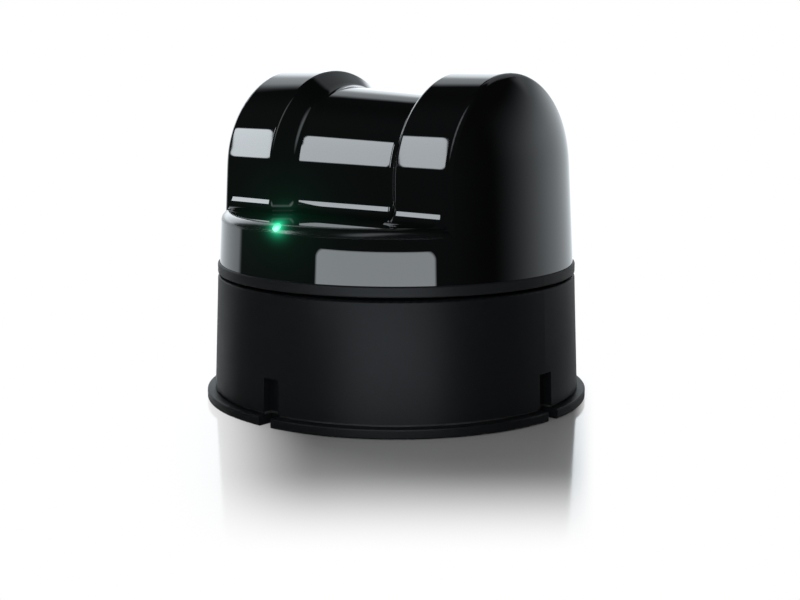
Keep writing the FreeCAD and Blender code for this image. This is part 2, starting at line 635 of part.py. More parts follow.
def stator_core():
    back = ring(HUB_RADIUS + SEAT_CLEARANCE, HUB_RADIUS + STATOR_YOKE, Z_STATOR, Z_STATOR_TOP)
    shoe_inner = STATOR_RADIUS - STATOR_SHOE
    pitch = 360.0 / STATOR_TEETH
    tooth = box(HUB_RADIUS + STATOR_YOKE / 2, shoe_inner + STATOR_SHOE / 2,
                -TOOTH_WIDTH / 2, TOOTH_WIDTH / 2, Z_STATOR, Z_STATOR_TOP)
    opening = box(shoe_inner - CUT_MARGIN, STATOR_RADIUS + CUT_MARGIN, -STATOR_SLOT_OPENING / 2,
                  STATOR_SLOT_OPENING / 2, Z_STATOR - CUT_MARGIN, Z_STATOR_TOP + CUT_MARGIN)
    shoes = ring(shoe_inner, STATOR_RADIUS, Z_STATOR, Z_STATOR_TOP).cut(
        [turned(opening, (index + 0.5) * pitch) for index in range(STATOR_TEETH)])
    teeth = [turned(tooth, index * pitch) for index in range(STATOR_TEETH)]
    return joined([back, shoes] + teeth)


def stator_windings():
    inner = HUB_RADIUS + STATOR_YOKE + WINDING_END_GAP
    outer = STATOR_RADIUS - STATOR_SHOE - WINDING_END_GAP
    half = TOOTH_WIDTH / 2 + SEAT_CLEARANCE
    coil = box(inner, outer, -half - WINDING_BUILD, half + WINDING_BUILD,
               Z_STATOR - WINDING_BUILD, Z_STATOR_TOP + WINDING_BUILD)
    long_edges = [edge for edge in coil.Edges if abs(edge.tangentAt(edge.FirstParameter).x) > 0.9]
    coil = coil.makeFillet(WINDING_EDGE, long_edges)
    coil = coil.cut(box(inner - CUT_MARGIN, outer + CUT_MARGIN, -half, half,
                        Z_STATOR - SEAT_CLEARANCE, Z_STATOR_TOP + SEAT_CLEARANCE))
    return group([turned(coil, index * 360.0 / STATOR_TEETH) for index in range(STATOR_TEETH)])


def coil_carrier():
    inner = HUB_RADIUS + SEAT_CLEARANCE
    return turned_profile([
        (inner, Z_STATOR_TOP, 0),
        (inner + CARRIER_WALL, Z_STATOR_TOP, 0),
        (inner + CARRIER_WALL, Z_CARRIER_DISC, 0),
        (FERRITE_OUTER_RADIUS, Z_CARRIER_DISC, 0),
        (FERRITE_OUTER_RADIUS, Z_LOWER_FERRITE, 0),
        (inner, Z_LOWER_FERRITE, 0)])


def ferrite(z):
    return ring(FERRITE_INNER_RADIUS, FERRITE_OUTER_RADIUS, z, z + FERRITE_THICKNESS)


def power_coil(z):
    return ring(FERRITE_INNER_RADIUS + COIL_INSET, FERRITE_OUTER_RADIUS - COIL_INSET,
                z, z + COIL_THICKNESS)


def spindle_bearing_outer_rings():
    inner = BEARING_OUTER_RADIUS - BEARING_RING
    return group([ring(inner, BEARING_OUTER_RADIUS, z, z + BEARING_WIDTH)
                  for z in (Z_LOWER_BEARING, Z_UPPER_BEARING)])


def bearing_spacer():
    return ring(BEARING_OUTER_RADIUS - BEARING_RING, BEARING_OUTER_RADIUS,
                Z_LOWER_BEARING + BEARING_WIDTH, Z_UPPER_BEARING)


# Spinning head, below the turntable


def spindle_bearing_inner_rings():
    inner = SPINDLE_RADIUS + SEAT_CLEARANCE
    return group([ring(inner, inner + BEARING_RING, z, z + BEARING_WIDTH)
                  for z in (Z_LOWER_BEARING, Z_UPPER_BEARING)])


def spindle():
    tail = Z_LOWER_BEARING - SPINDLE_TAIL
    groove = SPINDLE_RADIUS - CLIP_GROOVE
    flange = Z_TABLE - SPINDLE_FLANGE_THICKNESS
    return turned_profile([
        (SPINDLE_BORE_RADIUS, tail, 0),
        (SPINDLE_RADIUS, tail, 0),
        (SPINDLE_RADIUS, Z_LOWER_BEARING - CLIP_THICKNESS, 0),
        (groove, Z_LOWER_BEARING - CLIP_THICKNESS, 0),
        (groove, Z_LOWER_BEARING, 0),
        (SPINDLE_RADIUS, Z_LOWER_BEARING, 0),
        (SPINDLE_RADIUS, Z_HUB_TOP, 0),
        (SPINDLE_RADIUS + BEARING_RING, Z_HUB_TOP, 0),
        (SPINDLE_RADIUS + BEARING_RING, flange, 0),
        (SPINDLE_FLANGE_RADIUS, flange, 0),
        (SPINDLE_FLANGE_RADIUS, Z_TABLE, 0),
        (SPINDLE_RADIUS, Z_TABLE, 0),
        (SPINDLE_RADIUS, Z_TABLE_TOP, 0),
        (SPINDLE_BORE_RADIUS, Z_TABLE_TOP, 0)])


def spindle_clip():
    inner = SPINDLE_RADIUS - CLIP_GROOVE + SEAT_CLEARANCE
    clip = ring(inner, SPINDLE_RADIUS + BEARING_RING, Z_LOWER_BEARING - CLIP_THICKNESS, Z_LOWER_BEARING)
    gap = box(0, SPINDLE_RADIUS * 2, -CLIP_OPENING / 2, CLIP_OPENING / 2, 0, Z_HUB_TOP)
    return clip.cut(gap)


def rotor_yoke():
    return ring(YOKE_INNER_RADIUS, YOKE_OUTER_RADIUS, Z_ROTOR_YOKE, Z_TABLE)


def rotor_magnets():
    top = Z_STATOR_TOP + MAGNET_OVERHANG
    section = Part.Face(Part.makePolygon([
        Vector(MAGNET_INNER_RADIUS, 0, Z_ROTOR_YOKE),
        Vector(MAGNET_OUTER_RADIUS, 0, Z_ROTOR_YOKE),
        Vector(MAGNET_OUTER_RADIUS, 0, top),
        Vector(MAGNET_INNER_RADIUS, 0, top),
        Vector(MAGNET_INNER_RADIUS, 0, Z_ROTOR_YOKE)]))
    pitch = 360.0 / MAGNET_COUNT
    magnet = section.revolve(Vector(0, 0, 0), Z_DIRECTION, pitch - MAGNET_SPACING)
    return group([turned(magnet, index * pitch) for index in range(MAGNET_COUNT)])


def encoder_disc():
    wheel = ring(YOKE_INNER_RADIUS, DISC_RADIUS, Z_DISC, Z_ROTOR_YOKE)
    window = box(DISC_RADIUS - DISC_RIM - DISC_WINDOW_LENGTH, DISC_RADIUS - DISC_RIM,
                 -DISC_WINDOW_WIDTH / 2, DISC_WINDOW_WIDTH / 2, Z_DISC - CUT_MARGIN,
                 Z_ROTOR_YOKE + CUT_MARGIN)
    return wheel.cut([turned(window, index * 360.0 / DISC_WINDOWS) for index in range(DISC_WINDOWS)])


def frame_post_places():
    return [Vector(x, y, 0) for x in (-FRAME_POST_X, FRAME_POST_X)
            for y in (-FRAME_POST_Y, FRAME_POST_Y)]


def turntable():
    rib_outer = LIP_INNER_RADIUS - LABYRINTH_GAP
    rib_inner = rib_outer - LABYRINTH_WIDTH
    step_inner = LOCATING_RING_RADIUS - LOCATING_RING_WIDTH
    step_top = Z_TABLE_TOP + LOCATING_RING_HEIGHT
    table = turned_profile([
        (SPINDLE_RADIUS + SEAT_CLEARANCE, Z_TABLE, 0),
        (rib_inner, Z_TABLE, 0),
        (rib_inner, Z_TABLE - LABYRINTH_DEPTH, 0),
        (rib_outer, Z_TABLE - LABYRINTH_DEPTH, 0),
        (rib_outer, Z_TABLE, 0),
        (HOUSING_TOP_RADIUS, Z_TABLE, BAND_EDGE),
        (HOUSING_TOP_RADIUS, Z_TABLE_TOP, BAND_EDGE),
        (LOCATING_RING_RADIUS, Z_TABLE_TOP, 0),
        (LOCATING_RING_RADIUS, step_top, 0),
        (step_inner, step_top, 0),
        (step_inner, Z_TABLE_TOP, 0),
        (ROTOR_RIB_RADIUS + ROTOR_RIB_WIDTH, Z_TABLE_TOP, 0),
        (ROTOR_RIB_RADIUS + ROTOR_RIB_WIDTH, Z_ROTOR_BOARD, 0),
        (ROTOR_RIB_RADIUS, Z_ROTOR_BOARD, 0),
        (ROTOR_RIB_RADIUS, Z_TABLE_TOP, 0),
        (SPINDLE_RADIUS + SEAT_CLEARANCE, Z_TABLE_TOP, 0)])
    posts = [disc(FRAME_POST_RADIUS, Z_TABLE, Z_FRAME, place.x, place.y) for place in frame_post_places()]
    holes = [disc(SMALL_SCREW_RADIUS + SEAT_CLEARANCE, Z_FRAME - SCREW_GRIP + FRAME_FLOOR,
                  Z_FRAME + CUT_MARGIN, place.x, place.y) for place in frame_post_places()]
    for angle in SHELL_BOSS_ANGLES:
        place = polar(SHELL_BOSS_CIRCLE, angle)
        holes.append(disc(SMALL_SCREW_HEAD_RADIUS + SCREW_CLEARANCE, Z_TABLE - CUT_MARGIN,
                          Z_TABLE + SMALL_SCREW_HEAD_HEIGHT, place.x, place.y))
        holes.append(disc(SMALL_SCREW_RADIUS + SCREW_CLEARANCE, Z_TABLE - CUT_MARGIN,
                          Z_TABLE_TOP + CUT_MARGIN, place.x, place.y))
    return joined([table] + posts).cut(holes)


# Spinning head, above the turntable


def offset_path(points, distance):
    """Open path of (x, radius) points moved inwards, square to each run, by distance."""
    lines = []
    for (x0, r0), (x1, r1) in zip(points, points[1:]):
        length = math.hypot(x1 - x0, r1 - r0)
        normal = ((r1 - r0) / length, -(x1 - x0) / length)
        lines.append((x0 + normal[0] * distance, r0 + normal[1] * distance,
                      (x1 - x0) / length, (r1 - r0) / length))
    moved = [(points[0][0], points[0][1] - distance)]
    for (xa, ra, dxa, dra), (xb, rb, dxb, drb) in zip(lines, lines[1:]):
        along = ((xb - xa) * drb - (rb - ra) * dxb) / (dxa * drb - dra * dxb)
        moved.append((xa + dxa * along, ra + dra * along))
    moved.append((points[-1][0], points[-1][1] - distance))
    return moved


def crown_corners(inset, z):
    """Rounded path along the head: tower, step down, tapering drum, step up, tower."""
    reach = SHELL_FOOT_RADIUS + CUT_MARGIN
    path = offset_path([
        (-reach, ARCH_RADIUS),
        (-TOWER_EDGE_X, ARCH_RADIUS),
        (-DRUM_END_X, DRUM_LEFT_RADIUS),
        (DRUM_END_X, DRUM_RIGHT_RADIUS),
        (TOWER_EDGE_X, ARCH_RADIUS),
        (reach, ARCH_RADIUS)], inset)
    tower_edge = max(TOWER_EDGE_RADIUS - inset, LEAST_ROUNDING)
    drum_end = max(DRUM_BLEND_RADIUS + inset, LEAST_ROUNDING)
    roundings = (0, tower_edge, drum_end, drum_end, tower_edge, 0)
    return [(Vector(x, radius, z), rounding) for (x, radius), rounding in zip(path, roundings)]


def half_plan(inset, z):
    """Rear half of the head's plan, from the mirror axis out to the crown path."""
    crown = crown_corners(inset, z)
    left = Vector(crown[0][0].x, 0, z)
    right = Vector(crown[-1][0].x, 0, z)
    return Part.Face(outline([(left, 0)] + crown + [(right, 0)]))


def with_mirror_image(shape):
    return [shape, shape.mirror(AXIS_POINT, Vector(0, 1, 0))]


def loaf(inset):
    """Arched body along X: two towers with a waisted, tapering drum between them."""
    plan = half_plan(inset, Z_AXIS)
    arch = plan.revolve(AXIS_POINT, X_DIRECTION, 180)
    drop = Vector(0, 0, Z_TABLE_TOP - Z_AXIS)
    return joined([arch] + with_mirror_image(plan.extrude(drop)))


def ledge_blend():
    """Hollow fillet along the foot of the arched body, ending in a lean just inside the ledge's rim."""
    radius = LEDGE_BLEND_RADIUS
    path = Part.Wire(rounded_edges(crown_corners(-radius, Z_LEDGE + radius), False))
    start = path.Edges[0].valueAt(path.Edges[0].FirstParameter)
    section = Part.Wire([Part.Circle(start, X_DIRECTION, radius).toShape()])
    hollow = path.makePipeShell([section], True, False)
    root = RIM_RADIUS / 2
    height = root + radius
    foot = half_plan(-radius, Z_LEDGE - root).extrude(Z_DIRECTION * height).cut(hollow)
    bottom = RIM_CENTRE_RADIUS + root
    lean = height * math.tan(math.radians(LEDGE_BLEND_LEAN))
    end = Part.makeCone(bottom, bottom - lean, height, Vector(0, 0, Z_LEDGE - root))
    return with_mirror_image(foot.common(end))


def dome(inset):
    """Drafted round wall that runs tangent into a ball-shaped top."""
    foot = SHELL_FOOT_RADIUS - inset / math.cos(DRAFT)
    ball = DOME_RADIUS - inset
    tangent = Vector(ball * math.cos(DRAFT), 0, Z_AXIS + ball * math.sin(DRAFT))
    middle_angle = (DRAFT + math.pi / 2) / 2
    middle = Vector(ball * math.cos(middle_angle), 0, Z_AXIS + ball * math.sin(middle_angle))
    low = Vector(foot, 0, Z_TABLE_TOP)
    top = Vector(0, 0, Z_AXIS + ball)
    centre = Vector(0, 0, Z_TABLE_TOP)
    edges = [Part.LineSegment(centre, low).toShape(), Part.LineSegment(low, tangent).toShape(),
             Part.Arc(tangent, middle, top).toShape(), Part.LineSegment(top, centre).toShape()]
    return Part.Face(Part.Wire(edges)).revolve(Vector(0, 0, 0), Z_DIRECTION, 360)


def skirt(inset):
    """Drafted drum below the ledge, with a rounded rim."""
    foot = SHELL_FOOT_RADIUS - inset / math.cos(DRAFT)
    top = Z_LEDGE - inset
    return turned_profile([
        (0, Z_TABLE_TOP, 0),
        (foot, Z_TABLE_TOP, 0),
        (foot - (top - Z_TABLE_TOP) * math.tan(DRAFT), top, max(RIM_RADIUS - inset, LEAST_ROUNDING)),
        (0, top, 0)])


def end_edges(body):
    """Edges where the arch meets the ball and the drafted wall, at both ends."""
    found = []
    for edge in body.Edges:
        centre = edge.CenterOfMass
        sample = edge.valueAt((edge.FirstParameter + edge.LastParameter) / 2)
        off_axis = math.hypot(sample.y, max(sample.z - Z_AXIS, 0.0))
        on_arch = abs(off_axis - ARCH_RADIUS) < MATCH_TOLERANCE
        at_end = abs(centre.x) > TOWER_EDGE_X + TOWER_EDGE_RADIUS
        across = edge.BoundBox.XLength < TOWER_EDGE_X / 2
        if on_arch and at_end and across and edge.Length > MATCH_TOLERANCE:
            found.append(edge)
    return found


def head_body(inset):
    """Outer form of the head, or its cavity when set in by the wall."""
    body = loaf(inset).common(dome(inset))
    if inset:
        return joined([body, skirt(inset)])
    rounded = body.makeFillet(END_EDGE_RADIUS, end_edges(body))
    return joined([rounded, skirt(0.0)] + ledge_blend())


def light_pipe(radius, proud):
    low = Vector(0, LED_Y, LIGHT_PIPE_Z)
    direction = Vector(0, -1, 1).normalize()
    centre = Vector(0, -RIM_CENTRE_RADIUS, RIM_CENTRE_Z)
    length = (centre - low).Length + RIM_RADIUS + proud
    return Part.makeCylinder(radius, length, low, direction)


def head_shell():
    shell = head_body(0.0).cut(head_body(SHELL_WALL))
    bosses = []
    holes = [light_pipe(LIGHT_PIPE_RADIUS + SEAT_CLEARANCE, CUT_MARGIN)]
    for angle in SHELL_BOSS_ANGLES:
        place = polar(SHELL_BOSS_CIRCLE, angle)
        bosses.append(disc(SHELL_BOSS_RADIUS, Z_TABLE_TOP, Z_LEDGE - SHELL_WALL / 2, place.x, place.y))
        holes.append(disc(SMALL_SCREW_RADIUS + SEAT_CLEARANCE, Z_TABLE_TOP - CUT_MARGIN,
                          Z_TABLE_TOP + SCREW_GRIP + SCREW_CLEARANCE, place.x, place.y))
    return joined([shell] + bosses).cut(holes)


def shell_screws():
    grip = BAND_HEIGHT - SMALL_SCREW_HEAD_HEIGHT + SCREW_GRIP
    return group([
        placed(small_screw(grip), polar(SHELL_BOSS_CIRCLE, angle, Z_TABLE + SMALL_SCREW_HEAD_HEIGHT),
               Vector(0, 0, -1))
        for angle in SHELL_BOSS_ANGLES])


def rotor_board():
    board = disc(ROTOR_BOARD_RADIUS, Z_ROTOR_BOARD, Z_ROTOR_BOARD_TOP)
    tab = box(-LED_TAB_WIDTH / 2, LED_TAB_WIDTH / 2, LED_Y - LED_TAB_MARGIN, 0,
              Z_ROTOR_BOARD, Z_ROTOR_BOARD_TOP)
    holes = [disc(FRAME_POST_RADIUS + PASS_CLEARANCE, Z_ROTOR_BOARD - CUT_MARGIN,
                  Z_ROTOR_BOARD_TOP + CUT_MARGIN, place.x, place.y) for place in frame_post_places()]
    return joined([board, tab]).cut(holes)


def rotor_board_chips():
    processor = chip(CHIP_LARGE, Z_ROTOR_BOARD_TOP, ROTOR_CHIP_RADIUS, ROTOR_PROCESSOR_ANGLE)
    others = [chip(CHIP_SMALL, Z_ROTOR_BOARD_TOP, ROTOR_CHIP_RADIUS, angle)
              for angle in ROTOR_CHIP_ANGLES]
    return group([processor] + others)


def link_receiver():
    return disc(LINK_RADIUS, Z_ROTOR_BOARD - LINK_HEIGHT, Z_ROTOR_BOARD)


def status_led():
    return box(-LED_SIZE / 2, LED_SIZE / 2, LED_Y - LED_SIZE / 2, LED_Y + LED_SIZE / 2,
               Z_ROTOR_BOARD_TOP, Z_ROTOR_BOARD_TOP + LED_HEIGHT)


def upright(x0, x1, radius, bore):
    """Frame cheek: a plate with a round head about the mirror axis and a bore through it."""
    cheek = joined([axle_disc(radius, x0, x1), box(x0, x1, -radius, radius, Z_FRAME, Z_AXIS)])
    below = box(x0, x1, -radius, radius, Z_AXIS - 2 * radius, Z_FRAME)
    return cheek.cut([below, axle_disc(bore, x0 - CUT_MARGIN, x1 + CUT_MARGIN)])


def optics_frame():
    floor_end = FRAME_POST_X + FRAME_POST_RADIUS
    floor = box(-floor_end, floor_end, -UPRIGHT_RADIUS, UPRIGHT_RADIUS, Z_FRAME, Z_FRAME_TOP)
    left_cheek = upright(CHEEK_X, OPTICS_SEAT_X, UPRIGHT_RADIUS, OPTICS_RADIUS + SEAT_CLEARANCE)
    right_cheek = upright(MOTOR_UPRIGHT_X, MOTOR_FACE_X, MOTOR_RADIUS + FRAME_WALL,
                          MOTOR_BOSS_RADIUS + SEAT_CLEARANCE)
    frame = joined([floor, left_cheek, right_cheek])
    holes = [disc(SMALL_SCREW_RADIUS + SCREW_CLEARANCE, Z_FRAME - CUT_MARGIN, Z_FRAME_TOP + CUT_MARGIN,
                  place.x, place.y) for place in frame_post_places()]
    for place in optics_screw_places():
        holes.append(axle_disc(SMALL_SCREW_RADIUS + SEAT_CLEARANCE, CHEEK_X - CUT_MARGIN,
                               OPTICS_SEAT_X + CUT_MARGIN, place.y, place.z))
    for place in motor_screw_places():
        holes.append(axle_disc(SMALL_SCREW_RADIUS + SCREW_CLEARANCE, MOTOR_UPRIGHT_X - CUT_MARGIN,
                               MOTOR_FACE_X + CUT_MARGIN, place.y, place.z))
    half_notch = FLEX_WIDTH / 2 + FLEX_NOTCH_MARGIN
    notch = box(-floor_end - CUT_MARGIN, CHEEK_X, -half_notch, half_notch,
                Z_FRAME - CUT_MARGIN, Z_FRAME_TOP + CUT_MARGIN)
    return frame.cut(holes + [notch])


def frame_screws():
    return group([placed(small_screw(SCREW_GRIP), place + Z_DIRECTION * Z_FRAME_TOP)
                  for place in frame_post_places()])


def ring_places(x, radius, count):
    """Places spread round the mirror axis, the first straight up."""
    first = Vector(x, 0, Z_AXIS + radius)
    places = []
    for index in range(count):
        turn = FreeCAD.Rotation(X_DIRECTION, 360.0 * index / count)
        places.append(AXIS_POINT + turn.multVec(first - AXIS_POINT))
    return places


def optics_screw_places():
    return ring_places(OPTICS_FLANGE_X, OPTICS_RADIUS + FRAME_RIM / 2, OPTICS_SCREW_COUNT)


def motor_screw_places():
    return ring_places(MOTOR_UPRIGHT_X, (MOTOR_BOSS_RADIUS + MOTOR_RADIUS) / 2,
                       MOTOR_SCREW_COUNT)


def optics_block():
    barrel = axle_disc(OPTICS_RADIUS, OPTICS_BACK_X, OPTICS_FACE_X)
    flange = axle_disc(UPRIGHT_RADIUS, OPTICS_SEAT_X, OPTICS_FLANGE_X)
    seat = OPTICS_FACE_X - LENS_SETBACK - LENS_EDGE
    cuts = [box(OPTICS_SEAT_X, OPTICS_FLANGE_X, -UPRIGHT_RADIUS, UPRIGHT_RADIUS,
                Z_AXIS - 2 * UPRIGHT_RADIUS, Z_FRAME_TOP)]
    for offset, radius in ((RECEIVE_OFFSET, RECEIVE_LENS_RADIUS), (TRANSMIT_OFFSET, TRANSMIT_LENS_RADIUS)):
        cuts.append(axle_disc(radius - LENS_LIP, OPTICS_BACK_X - CUT_MARGIN, OPTICS_FACE_X,
                              0.0, Z_AXIS + offset))
        cuts.append(axle_disc(radius + SEAT_CLEARANCE, seat, OPTICS_FACE_X + CUT_MARGIN,
                              0.0, Z_AXIS + offset))
    for place in optics_screw_places():
        cuts.append(axle_disc(SMALL_SCREW_RADIUS + SCREW_CLEARANCE, OPTICS_SEAT_X - CUT_MARGIN,
                              OPTICS_FLANGE_X + CUT_MARGIN, place.y, place.z))
    return joined([barrel, flange]).cut(cuts)


def optics_screws():
    return group([placed(small_screw(OPTICS_FLANGE_THICKNESS + FRAME_WALL), place, X_DIRECTION)
                  for place in optics_screw_places()])


def lens(radius, offset):
    """Lens seated in its bore, flat at the back and bulged towards the mirror."""
    back = OPTICS_FACE_X - LENS_SETBACK - LENS_EDGE
    front = back + LENS_EDGE
    z = Z_AXIS + offset
    bulge = radius * LENS_BULGE_SHARE
    ball = (radius ** 2 + bulge ** 2) / (2 * bulge)
    cap = Part.makeSphere(ball, Vector(front + bulge - ball, 0, z))
    return axle_disc(radius, back, front + bulge, 0.0, z).common(cap)


def ranging_board():
    return axle_disc(RANGING_BOARD_RADIUS, RANGING_BOARD_X, OPTICS_BACK_X)


def laser_diode():
    return axle_disc(TRANSMIT_LENS_RADIUS - LENS_LIP - SEAT_CLEARANCE, OPTICS_BACK_X,
                     OPTICS_BACK_X + LASER_LENGTH, 0.0, Z_AXIS + TRANSMIT_OFFSET)


def photodetector():
    return axle_disc(DETECTOR_RADIUS, OPTICS_BACK_X, OPTICS_BACK_X + DETECTOR_LENGTH,
                     0.0, Z_AXIS + RECEIVE_OFFSET)


def flex(face_x, outward, top):
    """Flat ribbon lying on the rotor board and turning up against a face at face_x."""
    far = face_x + outward * FLEX_THICKNESS
    inner = outward * (ROTOR_BOARD_RADIUS - FLEX_LAP)
    half = FLEX_WIDTH / 2
    lap = box(min(far, inner), max(far, inner), -half, half, Z_ROTOR_BOARD_TOP,
              Z_ROTOR_BOARD_TOP + FLEX_THICKNESS)
    rise = box(min(face_x, far), max(face_x, far), -half, half, Z_ROTOR_BOARD_TOP, top)
    return joined([lap, rise])


def ranging_flex():
    return flex(RANGING_BOARD_X, -1, Z_AXIS - RANGING_BOARD_RADIUS / 2)


def motor_flex():
    return flex(MOTOR_CAP_X, 1, Z_AXIS - MOTOR_RADIUS / 2)


def mirror_motor_case():
    bearing = SMALL_BEARING_OUTER + SEAT_CLEARANCE
    back = MOTOR_UPRIGHT_X + SMALL_BEARING_WIDTH
    inside = MOTOR_FACE_X + MOTOR_FRONT
    case = axle_profile([
        (MOTOR_UPRIGHT_X, bearing, 0),
        (back, bearing, 0),
        (back, SHAFT_RADIUS + PASS_CLEARANCE, 0),
        (inside, SHAFT_RADIUS + PASS_CLEARANCE, 0),
        (inside, MOTOR_BORE_RADIUS, 0),
        (MOTOR_END_X, MOTOR_BORE_RADIUS, 0),
        (MOTOR_END_X, MOTOR_RADIUS, 0),
        (MOTOR_FACE_X, MOTOR_RADIUS, 0),
        (MOTOR_FACE_X, MOTOR_BOSS_RADIUS, 0),
        (MOTOR_UPRIGHT_X, MOTOR_BOSS_RADIUS, 0)])
    holes = [axle_disc(SMALL_SCREW_RADIUS + SEAT_CLEARANCE, MOTOR_FACE_X - CUT_MARGIN,
                       MOTOR_FACE_X + SMALL_SCREW_GRIP, place.y, place.z) for place in motor_screw_places()]
    return case.cut(holes)


def mirror_motor_cap():
    bearing = SMALL_BEARING_OUTER + SEAT_CLEARANCE
    return axle_profile([
        (REAR_BEARING_X, bearing, 0),
        (REAR_BEARING_X, MOTOR_BORE_RADIUS - SEAT_CLEARANCE, 0),
        (MOTOR_END_X, MOTOR_BORE_RADIUS - SEAT_CLEARANCE, 0),
        (MOTOR_END_X, MOTOR_RADIUS, 0),
        (MOTOR_CAP_X, MOTOR_RADIUS, 0),
        (MOTOR_CAP_X, 0, 0),
        (SHAFT_END_X, 0, 0),
        (SHAFT_END_X, bearing, 0)])


def motor_screws():
    return group([placed(small_screw(FRAME_WALL + SMALL_SCREW_GRIP - SEAT_CLEARANCE), place, -X_DIRECTION)
                  for place in motor_screw_places()])


def mirror_stator_core():
    end = MOTOR_STACK_X + MOTOR_STACK
    outer = MOTOR_BORE_RADIUS - SEAT_CLEARANCE
    back = axle_ring(outer - MOTOR_CORE_YOKE, outer, MOTOR_STACK_X, end)
    tooth = box(MOTOR_STACK_X, end, -MOTOR_TOOTH_WIDTH / 2, MOTOR_TOOTH_WIDTH / 2,
                Z_AXIS + MOTOR_TOOTH_TIP_RADIUS, Z_AXIS + outer - MOTOR_CORE_YOKE / 2)
    teeth = [turned_about_mirror_axis(tooth, index * 360.0 / MOTOR_TEETH) for index in range(MOTOR_TEETH)]
    return joined([back] + teeth)


def mirror_stator_windings():
    half = MOTOR_TOOTH_WIDTH / 2 + SEAT_CLEARANCE
    end = MOTOR_STACK_X + MOTOR_STACK
    low = Z_AXIS + MOTOR_TOOTH_TIP_RADIUS + WINDING_END_GAP
    high = Z_AXIS + MOTOR_BORE_RADIUS - MOTOR_CORE_YOKE - WINDING_END_GAP
    coil = box(MOTOR_STACK_X - MOTOR_WINDING_BUILD, end + MOTOR_WINDING_BUILD,
               -half - MOTOR_WINDING_BUILD, half + MOTOR_WINDING_BUILD, low, high)
    coil = coil.cut(box(MOTOR_STACK_X - SEAT_CLEARANCE, end + SEAT_CLEARANCE, -half, half,
                        low - CUT_MARGIN, high + CUT_MARGIN))
    return group([turned_about_mirror_axis(coil, index * 360.0 / MOTOR_TEETH)
                  for index in range(MOTOR_TEETH)])


def mirror_bearing_outer_rings():
    inner = SMALL_BEARING_OUTER - SMALL_BEARING_RING
    return group([axle_ring(inner, SMALL_BEARING_OUTER, x, x + SMALL_BEARING_WIDTH)
                  for x in (MOTOR_UPRIGHT_X, REAR_BEARING_X)])


# Spinning mirror


def mirror_bearing_inner_rings():
    inner = SHAFT_RADIUS + SEAT_CLEARANCE
    return group([axle_ring(inner, inner + SMALL_BEARING_RING, x, x + SMALL_BEARING_WIDTH)
                  for x in (MOTOR_UPRIGHT_X, REAR_BEARING_X)])


def mirror_slab(front, back):
    """Slab tilted across the mirror axis, between two depths behind the reflecting face."""
    size = MIRROR_RADIUS * 4
    slab = Part.makeBox(size, size, back - front, Vector(-size / 2, -size / 2, -back))
    slab.Placement = FreeCAD.Placement(Vector(MIRROR_CENTRE_X, 0, Z_AXIS),
                                       FreeCAD.Rotation(Vector(0, 1, 0), -MIRROR_TILT))
    return slab


def mirror_holder():
    reach = MIRROR_RADIUS * 2
    drum = axle_disc(MIRROR_RADIUS, MIRROR_CENTRE_X - reach, MIRROR_BACK_X)
    bore = axle_disc(SHAFT_RADIUS + SEAT_CLEARANCE, SHAFT_START_X, MIRROR_BACK_X + CUT_MARGIN)
    return drum.common(mirror_slab(MIRROR_GLASS, reach * 2)).cut(bore)


def mirror_glass():
    reach = MIRROR_RADIUS * 2
    drum = axle_disc(MIRROR_RADIUS - MIRROR_GLASS_INSET, MIRROR_CENTRE_X - reach, MIRROR_CENTRE_X + reach)
    return drum.common(mirror_slab(0.0, MIRROR_GLASS))


def mirror_shaft():
    return axle_disc(SHAFT_RADIUS, SHAFT_START_X, SHAFT_END_X - SEAT_CLEARANCE)


def mirror_magnet():
    return axle_ring(SHAFT_RADIUS + SEAT_CLEARANCE, MOTOR_MAGNET_RADIUS, MOTOR_STACK_X,
                     MOTOR_STACK_X + MOTOR_STACK)


